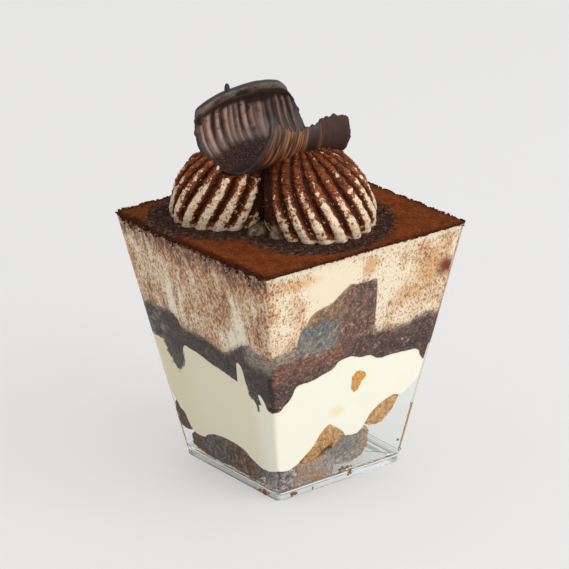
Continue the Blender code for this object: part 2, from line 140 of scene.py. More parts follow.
COCOA_BOTTOM = {
    "corners": (67.9, 67.9, 67.6, 67.2),
    "front": ((-20, 68.0), (-8, 67.9), (4, 68.05), (16, 67.9), (24, 68.0)),
    "left": ((-24, 67.8), (-14, 67.6), (-7, 67.1), (0, 66.9), (9, 67.2), (18, 66.8), (26, 66.9)),
    "right": ((-22, 67.8), (-10, 67.4), (2, 67.7), (14, 67.2), (24, 67.7)),
    "back": ((-22, 67.2), (-10, 67.6), (2, 67.1), (14, 67.5), (24, 67.2)),
}
# The wedge of soaked sponge held in the upper cream, along the front
WEDGE_TOP = ((-19.9, 44.9), (-19.4, 48.5), (-18.8, 50.6), (-17.3, 51.9), (-16.5, 53.5), (-14.5, 54.7),
             (-11.5, 55.5), (-9.5, 56.1), (-7.5, 57.5), (-5.5, 59.1), (-4.1, 59.8), (-1.5, 59.4),
             (1.5, 59.3), (3.9, 59.4), (4.7, 58.7), (5.2, 54.3), (5.5, 49.3), (5.8, 43.7))
WEDGE_DEPTH = 12 * MM


def cup_half(z):
    """Half the cup's outer width at height z."""
    return CUP_BASE_HALF + (CUP_TOP_HALF - CUP_BASE_HALF) * z / CUP_HEIGHT


def reach_half(z, into_wall=INTO_WALL):
    """Half the width of what fills the cup at height z."""
    return cup_half(z) - CUP_WALL + into_wall


# ---------------------------------------------------------------- modelling
def start(add, name, **settings):
    """Adds a primitive and returns its object, with its place and scale put into its mesh."""
    if bpy.context.mode != "OBJECT":
        bpy.ops.object.mode_set(mode="OBJECT")
    bpy.ops.object.select_all(action="DESELECT")
    add(**settings)
    piece = bpy.context.object
    piece.name = piece.data.name = name
    bpy.ops.object.transform_apply(location=True, rotation=True, scale=True)
    return piece


def take(piece, *others):
    """Selects a piece, and any others with it, and nothing else."""
    bpy.ops.object.select_all(action="DESELECT")
    bpy.context.view_layer.objects.active = piece
    for each in (piece, *others):
        each.select_set(True)


def join(piece, other):
    """Makes the other piece part of the first."""
    take(piece, other)
    bpy.ops.object.join()


@contextmanager
def editing(piece, everything=False):
    """Edit mode on one piece, with nothing or everything selected at the start."""
    take(piece)
    bpy.ops.object.mode_set(mode="EDIT")
    bpy.ops.mesh.select_mode(type="FACE")
    bpy.ops.mesh.select_all(action="SELECT" if everything else "DESELECT")
    yield
    bpy.ops.object.mode_set(mode="OBJECT")


def pick(piece, test, kind="faces"):
    """Selects exactly the faces or edges that pass the test, in edit mode."""
    bpy.ops.mesh.select_all(action="DESELECT")
    bm = bmesh.from_edit_mesh(piece.data)
    bm.normal_update()
    for element in getattr(bm, kind):
        if test(element):
            element.select_set(True)
    bm.select_flush_mode()
    bmesh.update_edit_mesh(piece.data)


def edge_centre(edge):
    return (edge.verts[0].co + edge.verts[1].co) / 2


def apply_modifier(piece, kind, **settings):
    """Adds a modifier and applies it at once."""
    take(piece)
    modifier = piece.modifiers.new(kind.lower(), kind)
    for key, value in settings.items():
        setattr(modifier, key, value)
    bpy.ops.object.modifier_apply(modifier=modifier.name)


def roughen(piece, size, strength):
    """Moves the surface in and out by a cloudy pattern whose features have that size."""
    clouds = bpy.data.textures.new(piece.name + "_clouds", "CLOUDS")
    clouds.noise_scale = size
    clouds.noise_depth = 3
    apply_modifier(piece, "DISPLACE", texture=clouds, strength=strength, mid_level=0.5)


def keep_main_part(piece):
    """Deletes specks that aren't joined to the piece."""
    highest = max(vertex.co.z for vertex in piece.data.vertices)
    with editing(piece):
        pick(piece, lambda face: max(vertex.co.z for vertex in face.verts) == highest)
        bpy.ops.mesh.select_linked()
        faces = bmesh.from_edit_mesh(piece.data).faces
        if sum(face.select for face in faces) > len(faces) / 2:
            bpy.ops.mesh.select_all(action="INVERT")
        bpy.ops.mesh.delete(type="VERT")


def smooth(piece, angle):
    """Shades edges flatter than that angle, in degrees, as smooth."""
    take(piece)
    bpy.ops.object.shade_smooth_by_angle(angle=math.radians(angle))


def points_of(piece):
    """A piece's points as an array."""
    points = np.empty(len(piece.data.vertices) * 3)
    piece.data.vertices.foreach_get("co", points)
    return points.reshape(-1, 3)


def move_points(piece, points):
    piece.data.vertices.foreach_set("co", np.asarray(points, float).ravel())
    piece.data.update()


def normals_of(piece):
    normals = np.empty(len(piece.data.vertices) * 3)
    piece.data.vertices.foreach_get("normal", normals)
    return normals.reshape(-1, 3)


def note(piece, name, values):
    """Stores one number for each point, for the materials to read."""
    layer = piece.data.attributes.new(name, "FLOAT", "POINT")
    layer.data.foreach_set("value", np.asarray(values, np.float32))


def finish_piece(piece, material, slot, *nodes):
    """Gives a piece its material and its place in the part, and hides the nodes that it stands for."""
    piece.data.materials.clear()
    piece.data.materials.append(material)
    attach(piece, "root")
    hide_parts(*nodes)


def noise_at(points, size, seed):
    """Smooth noise from -1 to 1 at each point."""
    offset = Vector((seed * 17.3, seed * 7.7, seed * 3.1))
    return np.array([noise.noise(Vector(point) / size + offset) for point in points])


def smoothstep(low, high, values):
    t = np.clip((np.asarray(values) - low) / (high - low), 0, 1)
    return t * t * (3 - 2 * t)


def bell(values, middle, wide):
    """1 at the middle, falling off smoothly to both sides."""
    return np.exp(-(((values - middle) / wide) ** 2))


def along(points, x):
    """The height at x of a smooth line through the points."""
    if x <= points[0][0]:
        return points[0][1]
    if x >= points[-1][0]:
        return points[-1][1]
    i = max(k for k, point in enumerate(points[:-1]) if point[0] <= x)
    last = len(points) - 1
    before, begin, end, after = (points[min(max(k, 0), last)] for k in (i - 1, i, i + 1, i + 2))
    span = end[0] - begin[0]
    leave = (end[1] - before[1]) / (end[0] - before[0]) * span
    arrive = (after[1] - begin[1]) / (after[0] - begin[0]) * span
    t = (x - begin[0]) / span
    return (
        (2 * t**3 - 3 * t**2 + 1) * begin[1]
        + (t**3 - 2 * t**2 + t) * leave
        + (3 * t**2 - 2 * t**3) * end[1]
        + (t**3 - t**2) * arrive
    )


def border(shape, cells, unrest):
    """Heights on a grid over the cup's width. Unrest is how far small waves move the lines, in mm."""
    steps = np.linspace(-1, 1, cells + 1)
    front_left, front_right, back_right, back_left = shape["corners"]
    ends = {
        "front": (front_left, front_right),
        "right": (front_right, back_right),
        "back": (back_left, back_right),
        "left": (front_left, back_left),
    }
    lines = {}
    for number, (side, (first, last)) in enumerate(ends.items()):
        points = [(x * MM / reach_half(z * MM), z) for x, z in shape[side]]
        points = [(-1, first), *points, (1, last)]
        waves = [
            noise.noise((step * 22, number * 5.3, shape["corners"][0])) * (1 - step**8) for step in steps
        ]
        lines[side] = np.array([along(points, step) for step in steps]) + unrest * np.array(waves)
    share = (steps + 1) / 2
    ruled = np.outer(lines["front"], 1 - share) + np.outer(lines["back"], share)
    ruled += np.outer(1 - share, lines["left"]) + np.outer(share, lines["right"])
    corners = np.outer(1 - share, (1 - share) * front_left + share * back_left)
    corners += np.outer(share, (1 - share) * front_right + share * back_right)
    return (ruled - corners) * MM


def grid_slab(name, cells):
    """A cube from -1 to 1 whose top and bottom are grids, to be shaped into a layer or a sheet."""
    piece = start(bpy.ops.mesh.primitive_cube_add, name, size=2)
    with editing(piece):
        pick(piece, lambda face: abs(face.normal.z) > 0.5)
        bpy.ops.mesh.subdivide(number_cuts=cells - 1)
    return piece


def round_corners(x, y, half, radius):
    """Turns the corners of a square into arcs, and what lies near them with them."""
    over_x, over_y = np.abs(x) - (half - radius), np.abs(y) - (half - radius)
    near = (over_x > 0) & (over_y > 0)
    length = np.hypot(over_x, over_y)
    shrink = np.where(near, np.maximum(over_x, over_y) / np.maximum(length, 1e-9), 1.0)
    new_x = np.where(near, np.sign(x) * (half - radius + over_x * shrink), x)
    new_y = np.where(near, np.sign(y) * (half - radius + over_y * shrink), y)
    return new_x, new_y


def layer(name, bottom, top):
    """A block between two borders that fills the cup's width and reaches just into its wall."""
    cells = len(bottom) - 1
    piece = grid_slab(name, cells)
    points = points_of(piece)
    column = np.rint((points[:, 0] + 1) / 2 * cells).astype(int)
    row = np.rint((points[:, 1] + 1) / 2 * cells).astype(int)
    low, high = bottom[column, row], top[column, row]
    z = np.where(points[:, 2] > 0, high, low)
    half = reach_half(z)
    x, y = round_corners(points[:, 0] * half, points[:, 1] * half, half, CUP_CORNER - CUP_WALL)
    move_points(piece, np.stack([x, y, z], 1))
    note(piece, "above", (z - low) / MM)
    note(piece, "below", (high - z) / MM)
    smooth(piece, 35)
    return piece


# ---------------------------------------------------------------- materials
class Wire:
    """A socket that takes part in arithmetic: each operation adds its Math node."""

    def __init__(self, finish, socket):
        self.finish = finish
        self.socket = socket

    def math(self, operation, *values):
        return self.finish.node("Math", {"operation": operation}, dict(enumerate((self, *values))))

    def __add__(self, other):
        return self.math("ADD", other)

    def __mul__(self, other):
        return self.math("MULTIPLY", other)

    __radd__ = __add__
    __rmul__ = __mul__

    def __sub__(self, other):
        return self.math("SUBTRACT", other)

    def __rsub__(self, other):
        return self.finish.node("Math", {"operation": "SUBTRACT"}, {0: other, 1: self})

    def __truediv__(self, other):
        return self.math("DIVIDE", other)

    def __pow__(self, other):
        return self.math("POWER", other)

    def __neg__(self):
        return self * -1

    def __abs__(self):
        return self.math("ABSOLUTE")

    def least(self, other):
        return self.math("MINIMUM", other)

    def most(self, other):
        return self.math("MAXIMUM", other)


def linear(red, green, blue):
    """A colour as it looks, from 0 to 255, as the light that it sends back."""
    channels = [value / 255 for value in (red, green, blue)]
    return tuple(c / 12.92 if c <= 0.04045 else ((c + 0.055) / 1.055) ** 2.4 for c in channels)


def as_light(colour):
    """A colour as a socket takes it: a tuple is meant as it looks, and anything else is left alone."""
    return linear(*colour) if isinstance(colour, tuple) else colour


class Finish:
    """A material, its colour so far, and the nodes of its pattern."""

    def __init__(self, name, colour=None):
        self.colour = colour
        self.material = bpy.data.materials.new(name)
        self.material.use_nodes = True
        self.tree = self.material.node_tree
        self.shader = self.tree.nodes["Principled BSDF"]
        self.out = self.tree.nodes["Material Output"]

    def feed(self, socket, value):
        if isinstance(value, Wire):
            self.tree.links.new(value.socket, socket)
        elif socket.type == "RGBA" and len(value) == 3:
            socket.default_value = (*value, 1)
        else:
            socket.default_value = value

    def node(self, kind, settings=None, values=None, out=0):
        """Adds a node of a type, with its settings, then the values or links of its sockets."""
        node = self.tree.nodes.new("ShaderNode" + kind)
        for key, value in (settings or {}).items():
            setattr(node, key, value)
        sockets = {socket.identifier: socket for socket in node.inputs}
        for key, value in (values or {}).items():
            self.feed(node.inputs[key] if isinstance(key, int) else sockets[key], value)
        return Wire(self, node.outputs[out])

    def place(self):
        """Where on the part a point is, as a vector in millimetres."""
        spot = self.node("TexCoord", out="Object")
        return self.vector("SCALE", spot, Scale=1 / MM)

    def behind_wall(self):
        """The same for marks on the filling, which the wall makes look higher and further left."""
        return self.vector("ADD", self.place(), (-0.5, -0.6, 0.7))

    def vector(self, operation, first, second=None, **values):
        sockets = {0: first, **values}
        if second is not None:
            sockets[1] = second
        return self.node("VectorMath", {"operation": operation}, sockets)

    def parts(self, vector):
        """The three numbers of a vector."""
        node = self.node("SeparateXYZ", None, {0: vector}).socket.node
        return [Wire(self, socket) for socket in node.outputs]

    def grains(self, where, size, amount, stretch=None):
        """A factor round 1 that makes grains of that size darker and lighter by that share."""
        value = self.noise(where, size, 2.0, 0.6, stretch)
        return self.step(value, 0.36, 0.64) * (2 * amount) + (1 - amount)

    def noise(self, where, size, detail=2.0, roughness=0.5, stretch=None):
        """Noise from about 0.25 to 0.75 whose features have that size in mm, stretched along x, y, z."""
        if stretch:
            where = self.vector("MULTIPLY", where, tuple(1 / s for s in stretch))
        values = {"Vector": where, "Scale": 1 / size, "Detail": detail, "Roughness": roughness}
        return self.node("TexNoise", None, values)

    def warp(self, where, size, amount):
        """The place, moved about by noise of that size, by up to about that amount."""
        values = {"Vector": where, "Scale": 1 / size, "Detail": 2.0}
        colour = self.node("TexNoise", None, values, out="Color")
        shift = self.vector("SUBTRACT", colour, (0.5, 0.5, 0.5))
        shift = self.vector("SCALE", shift, Scale=2 * amount)
        return self.vector("ADD", where, shift)

    def step(self, value, low, high):
        """0 below low, 1 above high, and smooth between; the other way round if low is the higher."""
        return self.node("MapRange", {"interpolation_type": "SMOOTHSTEP"}, {0: value, 1: low, 2: high})

    def spot(self, x, z, centre, radii, soft):
        """1 inside an ellipse and 0 outside it."""
        across = (x - centre[0]) / radii[0]
        up = (z - centre[1]) / radii[1]
        return self.step((across * across + up * up) ** 0.5, 1 + soft, 1 - soft)

    def spots(self, across, up, *spots):
        """The strongest of some ellipses: each one's centre, radii, softness and, if not 1, strength."""
        strongest = None
        for middle, height, wide, high, soft, *strength in spots:
            spot = self.spot(across, up, (middle, height), (wide, high), soft)
            spot = spot * strength[0] if strength else spot
            strongest = strongest.most(spot) if strongest else spot
        return strongest

    def mix(self, below, above, share):
        """One colour over another."""
        values = {"Factor_Float": share, "A_Color": as_light(below), "B_Color": as_light(above)}
        return self.node("Mix", {"data_type": "RGBA"}, values, out=2)

    def tint(self, colour, value):
        """A colour made darker or lighter by a factor."""
        return self.vector("SCALE", as_light(colour), Scale=value)

    def paint(self, above, share):
        """Lays one more colour over the material's own."""
        self.colour = self.mix(self.colour, above, share)

    def shade(self, value, share=None):
        """Makes the material's colour darker or lighter by a factor, all over or in that share."""
        shaded = self.tint(self.colour, value)
        self.colour = shaded if share is None else self.mix(self.colour, shaded, share)

    def attribute(self, name):
        return self.node("Attribute", {"attribute_name": name}, out="Fac")

    def facing(self):
        """How far the surface faces the front and the left."""
        x, y, _ = self.parts(self.node("NewGeometry", out="Normal"))
        return -y, -x

    def sides(self):
        """1 at the front and 0 elsewhere, and the same for the left."""
        front, left = self.facing()
        return self.step(front, 0.5, 0.8), self.step(left, 0.5, 0.8)

    def set(self, **values):
        """Sets the shader's sockets, named with _ for a space."""
        for key, value in values.items():
            self.feed(self.shader.inputs[key.replace("_", " ")], value)
        return self.material

    def coat(self, roughness, gloss, bumps, height, glow=None):
        """Sets the shader to the colour so far, with small relief of that height in millimetres for
        shading alone, and for cream how much light goes into it, how far by colour, and on what scale.
        """
        if glow:
            weight, radius, scale = glow
            self.set(Subsurface_Weight=weight, Subsurface_Radius=radius, Subsurface_Scale=scale * MM)
        relief = self.node("Bump", None, {"Height": bumps, "Distance": height * MM, "Strength": 1.0})
        return self.set(
            Base_Color=self.colour, Roughness=roughness, Specular_IOR_Level=gloss, Normal=relief
        )


def clear_plastic(look):
    """Clear moulded plastic. Light from the lamps and the room goes straight through to the filling."""
    finish = Finish("clear_plastic")
    finish.set(
        Base_Color=tuple(look.tint),
        Roughness=look.roughness,
        Transmission_Weight=1.0,
        IOR=look.ior,
        Specular_IOR_Level=0.15,
    )
    through = finish.node("BsdfTransparent", None, {0: tuple(look.passing)})
    lamp_ray = finish.node("LightPath", out="Is Shadow Ray")
    room_ray = Wire(finish, lamp_ray.socket.node.outputs["Is Diffuse Ray"])
    solid = Wire(finish, finish.shader.outputs[0])
    x, y, z = finish.parts(finish.place())
    on_left = finish.step(finish.facing()[1], 0.4, 0.8)
    outside = finish.step(abs(x).most(abs(y)) - z * 0.183, 19.9, 20.3)
    low = finish.step(z, 2.5, 2.0)
    # painted shade: dark lines along the left of the foot's outer face; and a painted white highlight
    # line round it
    shadow = finish.step(z, 0.45, 0.25) * 0.5 + finish.step(z, 1.9, 1.5) * 0.3
    shadow = shadow + finish.step(z, 2.7, 2.9) * finish.step(z, 3.3, 3.1) * 0.3
    glint = finish.step(z, 2.05, 2.2) * finish.step(z, 2.6, 2.45) * 0.7
    # diffuse coats over the plastic: a milky foot, also painted lighter on the right than on the left,
    # then the painted shade lines and the painted highlight line
    layers = (
        (linear(236, 240, 240), low * (1 - on_left * 0.7) * look.foot_haze_and_light),
        (linear(84, 84, 80), shadow * on_left * outside),
        (linear(255, 255, 255), glint * outside),
    )
    for tone, amount in layers:
        haze = finish.node("BsdfDiffuse", None, {0: tone})
        solid = finish.node("MixShader", None, {0: amount, 1: solid, 2: haze})
    seen = finish.node("MixShader", None, {0: lamp_ray.most(room_ray), 1: solid, 2: through})
    finish.feed(finish.out.inputs["Surface"], seen)
    return finish.material


def plain_cream(look):
    """Smooth ivory cream pressed against the wall, with a stain or two."""
    finish = Finish("smooth_cream")
    step, grains, cloudy, paint = finish.step, finish.grains, finish.noise, finish.paint
    place = finish.behind_wall()
    y = finish.parts(place)[1]
    front, left = finish.facing()
    on_front, on_left = finish.sides()
    x, _, z = finish.parts(finish.warp(place, 4.0, 0.8))
    cloud = cloudy(place, 9.0, 2.0)
    finish.colour = finish.mix(look.plain_cream, (249, 242, 214), step(cloud, 0.45, 0.75) * 0.5)
    stain = finish.spot(x, z, (-4.2, 23.2), (2.2, 1.6), 0.7) * on_front
    paint((245, 226, 150), stain * 0.55)
    # painted shade: the left side darker and warmer, least near the front corner and most towards the
    # back, and the back and right sides half as much
    hidden = step(front, -0.5, -0.8).most(step(left, -0.5, -0.8))
    shaded = (step(y, -22.0, -13.0) * 0.6 + step(y, 4.0, 20.0) * 0.3) * on_left
    paint(finish.vector("MULTIPLY", finish.colour, (0.85, 0.775, 0.63)), shaded.most(hidden * 0.5))
    # dark smears where the layer above has run down inside the left wall
    _, torn_y, torn_z = finish.parts(finish.warp(finish.warp(place, 2.2, 1.5), 0.9, 0.8))
    grain = cloudy(place, 0.9, 3.0, 0.7)
    smear = finish.spots(
        torn_y,
        torn_z,
        (15.6, 33.4, 3.4, 5.2, 0.3),
        (-17.6, 32.2, 1.9, 2.6, 0.3),
        (18.2, 34.0, 2.2, 3.0, 0.3),
        (-19.0, 30.0, 1.0, 2.6, 0.3),
    )
    smear = step(smear + (grain - 0.5) * 2.4 * smear**0.5, 0.15, 0.75) * on_left
    paint(finish.tint((72, 65, 60), grains(place, 0.9, 0.3)), smear)
    edge = step(finish.attribute("below"), 0.5, 0.0) * (1 - smear) * 0.35
    paint((225, 196, 150), edge)
    return finish.coat(0.4, 0.1, cloudy(place, 1.6, 3.0), 0.03, (look.cream_glow, (1.0, 0.8, 0.5), 1.2))


def dusted_cream(look):
    """Cream full of cocoa specks and soft brown clouds, with clean streaks where it touches the wall."""
    finish = Finish("speckled_cream")
    step, grains, cloudy, paint = finish.step, finish.grains, finish.noise, finish.paint
    place = finish.behind_wall()
    x, y, z = finish.parts(finish.warp(place, 3.0, 1.4))
    on_front, on_left = finish.sides()
    cloud = cloudy(place, 5.5, 4.0, 0.6, (1, 1, 1.5))
    patch = cloudy(place, 2.0, 3.0, 0.6, (1, 1, 1.7))
    drift = cloudy(place, 4.0, 3.0, 0.6, (1, 1, 3.0))

    clean = finish.spots(
        x, z, (-10, 62.0, 8.0, 6.5, 0.5, 1.3), (6.5, 58, 4, 9, 0.9, 0.5), (-15.5, 56.5, 2.5, 3.0, 0.7)
    )
    clean = clean.most(step(finish.attribute("below"), 1.4, 0.5) * 0.35)
    clean = clean * on_front
    clean_left = finish.spots(
        y, z, (12.8, 50, 1.3, 7.0, 0.8), (-17.0, 50.0, 2.0, 7.5, 0.9, 0.8), (-12.8, 46, 1.2, 3.6, 0.7)
    )
    clean = clean.most(clean_left * on_left * 1.15)

    heavy = (step(x, 17.0, 24.0) * 0.15).most(step(x, -27.5, -31.0) * 0.9) * on_front
    heavy = heavy.most(finish.spot(x, z, (10, 51), (4.0, 3.0), 0.8) * on_front)
    heavy = heavy.most(step(y, -26.0, -31.0) * on_left * 0.15)
    heavy = heavy.most(step(z, 59.0, 65.0) * step(y, 21.0, 14.0) * on_left * 1.5)
    amount = cloud * 1.5 + heavy * 0.26 + (1 - on_front) * (drift * 2.0 - 0.78) - clean * 0.85 - 0.75

    tan = step(amount + patch * 0.7, 0.0, 0.85)
    finish.colour = finish.mix(look.dusted_cream, look.tan, tan * 0.8)
    paint(finish.vector("MULTIPLY", finish.colour, (1.0, 0.96, 0.92)), on_front)
    tan_spots = finish.spots(
        x,
        z,
        (1.3, 64.6, 2.4, 2.4, 0.5),
        (21.5, 59, 4.5, 4.5, 0.9),
        (-22, 64.8, 5.0, 1.5, 0.8, 0.9),
        (16, 53, 4, 2.5, 0.9, 0.8),
    )
    paint((220, 162, 100), tan_spots * on_front * 0.75)
    grain = cloudy(place, 0.5, 2.0, 0.6, (1, 1, 1.6))
    paint((176, 116, 74), step(grain + amount * 0.14, 0.5, 0.62) * 0.7)
    fine = cloudy(place, 0.66, 3.0, 0.62, (1, 1, 1.4))
    specks = step(fine + amount * 0.15, 0.58, 0.62)
    big = cloudy(place, 1.15, 3.0, 0.65, (1, 1, 1.3))
    clots = step(big + amount * 0.13, 0.62, 0.675)
    paint(look.speck, specks * 0.85)
    paint((116, 66, 40), clots * 0.7)
    blotch = finish.spot(x, z, (27.6, 57.9), (2.7, 2.3), 0.8) * on_front
    paint(finish.tint((122, 48, 8), grains(place, 0.8, 0.35)), blotch)
    under_rim = step(z + (drift - 0.5) * 9.0, 62.0, 66.0) * on_left
    paint((98, 60, 42), under_rim * step(big, 0.36, 0.56) * 0.8)
    above = finish.attribute("above")
    smoky = step(above + (patch - 0.5) * 3.0, 2.2, 0.0) * 0.4
    torn = step(above + (big - 0.5) * 4.0 + (fine - 0.5) * 2.0, 0.5, 0.1)
    paint(look.grey_band, smoky)
    paint((104, 84, 74), torn * 0.85)
    glow = (look.cream_glow * 0.4, (1.0, 0.75, 0.45), 0.4)
    return finish.coat(0.5, 0.1, fine + patch * 0.6, 0.08, glow)


def dark_layer(look):
    """Moist dark chocolate and soaked sponge, redder and greyer in places, crumbly along its top."""
    finish = Finish("dark_layer")
    step, grains, cloudy = finish.step, finish.grains, finish.noise
    paint, shade = finish.paint, finish.shade
    place = finish.behind_wall()
    x, y, z = finish.parts(finish.warp(finish.warp(place, 4.0, 1.6), 1.1, 0.5))
    on_front, on_left = finish.sides()
    fine = cloudy(place, 0.42, 4.0, 0.7)
    streaky = cloudy(place, 1.0, 3.0, 0.65, (2.4, 2.4, 0.8))
    patch = cloudy(place, 3.2, 3.0, 0.6, (1.6, 1.6, 0.8))
    below = finish.attribute("below")
    finish.colour = finish.mix(look.dark_layer, (91, 68, 59), step(patch, 0.42, 0.62))
    paint((98, 71, 62), (1 - on_left) * step(streaky, 0.5, 0.64) * 0.5)
    paint((58, 50, 54), step(patch, 0.46, 0.3) * 0.8)
    red = step(x, -1.0, -6.0) * step(x, -30.0, -26.0) * step(z, 34.5, 38.0)
    paint((126, 86, 70), red * on_front * step(streaky, 0.32, 0.52) * 0.9)
    streak = finish.spot(x, z, (-11.5, 42), (5.5, 1.7), 0.8) * on_front
    paint((158, 98, 74), streak * step(fine, 0.46, 0.62) * 0.8)
    olive = finish.spot(x, z, (-12, 37.6), (5, 1.2), 0.8) * on_front
    paint((84, 70, 60), olive * 0.7)
    brown = finish.spots(x, z, (3, 42.6, 5, 1.8, 0.8), (17, 43, 6, 1.4, 0.8))
    paint((116, 93, 80), brown * on_front * step(streaky, 0.4, 0.6) * 0.35)
    band = step(below + (patch - 0.5) * 2.4, 4.2, 1.6)
    grey = band * step(x, -7.0, -13.0) * on_front
    grey = grey.most(step(y, -15.0, -20.0) * step(z, 39.0, 42.5) * on_left)
    grey = grey.most(step(y, 16.0, 21.0) * on_left * step(patch, 0.38, 0.62) * 0.7)
    paint(look.grey_band, grey * 0.9)
    edge = step(below + (streaky - 0.5) * 3.0 + (fine - 0.5) * 2.0, 0.9, 0.1)
    paint((168, 142, 116), edge * 0.6)
    pale = finish.spots(
        x,
        z,
        (6, 39.6, 1.0, 0.8, 0.6, 0.5),
        (15.3, 38.9, 0.4, 0.5, 0.6),
        (17.2, 38.4, 0.35, 0.4, 0.6),
        (12.5, 38.2, 0.25, 0.3, 0.6),
    )
    paint((186, 170, 152), pale * on_front * 0.7)
    # painted shade: the left side a third darker where no grey band lies; the pale specks below are laid
    # half as strongly on it
    shade(0.66, on_left * (1 - grey))
    light = step(cloudy(place, 0.6, 2.0), 0.6, 0.66) * (1 - on_left * 0.5)
    paint((160, 124, 104), light * 0.5)
    shade(grains(place, 1.0, 0.36, (1.3, 1.3, 0.8)) * grains(place, 0.6, 0.2))
    return finish.coat(0.45, 0.1, fine + patch, 0.12)


def soaked_wedge():
    """Soaked sponge: purple-brown, ochre at its upper left, with a grey haze of cream below that."""
    finish = Finish("soaked_wedge")
    step, grains, cloudy = finish.step, finish.grains, finish.noise
    paint, shade = finish.paint, finish.shade
    place = finish.behind_wall()
    x, _, z = finish.parts(finish.warp(finish.warp(place, 3.0, 1.1), 0.8, 0.5))
    fine = cloudy(place, 0.38, 4.0, 0.72, (1, 1, 1.6))
    patch = cloudy(place, 2.0, 3.0, 0.6, (1, 1, 1.8))
    finish.colour = finish.mix((126, 95, 80), (100, 75, 68), step(patch, 0.4, 0.62))
    ochre = step(x, -4.0, -8.0) * step(z, 51.2, 52.4)
    paint((140, 110, 82), ochre)
    paint((176, 140, 96), finish.spot(x, z, (-18, 53), (1.8, 1.2), 0.8) * 0.8)
    haze = step(x, -5.0, -9.5) * step(z, 52.2, 51.0)
    paint((120, 117, 110), haze * 0.95)
    blue = finish.spot(x, z, (-13.5, 49.4), (5.0, 1.9), 0.6)
    paint((104, 112, 112), blue * step(patch, 0.3, 0.5) * 0.7)
    light = finish.spots(
        x,
        z,
        (-13.2, 48.6, 0.5, 0.5, 0.6),
        (-12, 45.3, 0.35, 0.3, 0.6),
        (-6, 47.6, 0.9, 0.7, 0.9, step(fine, 0.5, 0.6)),
    )
    paint((205, 192, 160), light * 0.75)
    paint((186, 150, 122), step(cloudy(place, 0.6, 2.0), 0.58, 0.66) * 0.45)
    shade(grains(place, 0.95, 0.3, (1, 1, 1.3)) * grains(place, 0.6, 0.2))
    inside = finish.attribute("below").least(5.6 - x)
    edge = step(inside + (patch - 0.5) * 3.0 + (fine - 0.5) * 2.0, 0.8, 0.0)
    paint((190, 158, 124), edge * 0.6)
    return finish.coat(0.55, 0.1, fine + patch * 0.5, 0.15)


def sponge(look):
    """Open-pored sponge finger: golden where it stays dry, greyer and darker where it is soaked."""
    finish = Finish("chopped_sponge")
    step, grains, cloudy = finish.step, finish.grains, finish.noise
    paint, shade = finish.paint, finish.shade
    place = finish.behind_wall()
    x, y, z = finish.parts(finish.warp(finish.warp(place, 3.5, 1.8), 0.9, 0.7))
    on_front = finish.sides()[0]
    pores = cloudy(place, 0.95, 2.0, 0.5)
    patch = cloudy(place, 2.4, 3.0, 0.6)
    blotchy = step(patch, 0.4, 0.62)
    grey = look.sponge_grey
    finish.colour = finish.mix(look.sponge_gold, look.sponge_brown, blotchy * 0.7)

    low = step(z - x * 0.69, 15.9, 14.7) * step(x, 6.0, 5.0).most(step(z, 14.8, 14.2))
    damp = low.most(step(z, 10.2, 9.2))
    near_front = step(y, -13.0, -15.5)
    damp = damp * near_front
    paint(look.sponge_brown, step(z, 15.5, 12.0) * near_front * 0.6)
    soaked = finish.mix(grey, finish.tint(grey, 1.26), blotchy * 0.5)
    deeper = step(x, -6.0, -3.0) * step(x, 6.5, 4.5) * step(z, 8.5, 10.0)
    soaked = finish.tint(soaked, 1 - deeper * 0.24)
    paint(soaked, damp)
    warm = finish.spots(x, z, (6.6, 9.5, 1.6, 4.5, 0.7), (-13, 7, 3.5, 2.2, 0.8))
    paint((156, 128, 104), warm * damp * 0.8)
    toast = finish.spot(x, z, (-8.2, 4.9), (3.2, 1.4), 0.6) * near_front
    paint((166, 122, 78), toast * step(pores, 0.38, 0.5) * 0.85)

    bit = step(z, 25.0, 26.0) * near_front
    paint((212, 150, 82), bit)
    near_left = step(x, -14.5, -16.5)
    dark = step(y, -0.5, 1.5) * near_left
    paint(finish.mix((122, 88, 58), (92, 70, 50), blotchy), near_left)
    paint((98, 86, 78), dark * step(y, 11.0, 9.0) * (1 - blotchy * 0.5))
    paint((86, 46, 20), dark * step(y, 9.5, 11.5))
    paint((84, 54, 34), dark * step(z, 6.0, 4.4) * step(y, 3.0, 6.0))
    paint(grey, near_left * step(y, -13.0, -17.0) * 0.9)

    # the sponge by the left wall mottled and, as painted shade, darker: a little where it faces the
    # front, more elsewhere
    mottle = grains(place, 1.6, 0.5) * grains(place, 0.8, 0.3)
    shade(mottle * (on_front * 0.2 + 0.72), near_left)
    shade(grains(place, 0.62, 0.16))
    # painted shade in the pores: the pits darker, less so on the orange bit
    pits = step(pores, 0.46, 0.36) * (1 - bit * 0.6)
    shade(0.5, pits * 0.75)
    crumbs = cloudy(place, 0.7, 2.0, 0.5)
    shade(near_left * 0.2 + 1.5, step(crumbs, 0.55, 0.64) * 0.8)
    return finish.coat(0.75, 0.1, pores, 0.35)


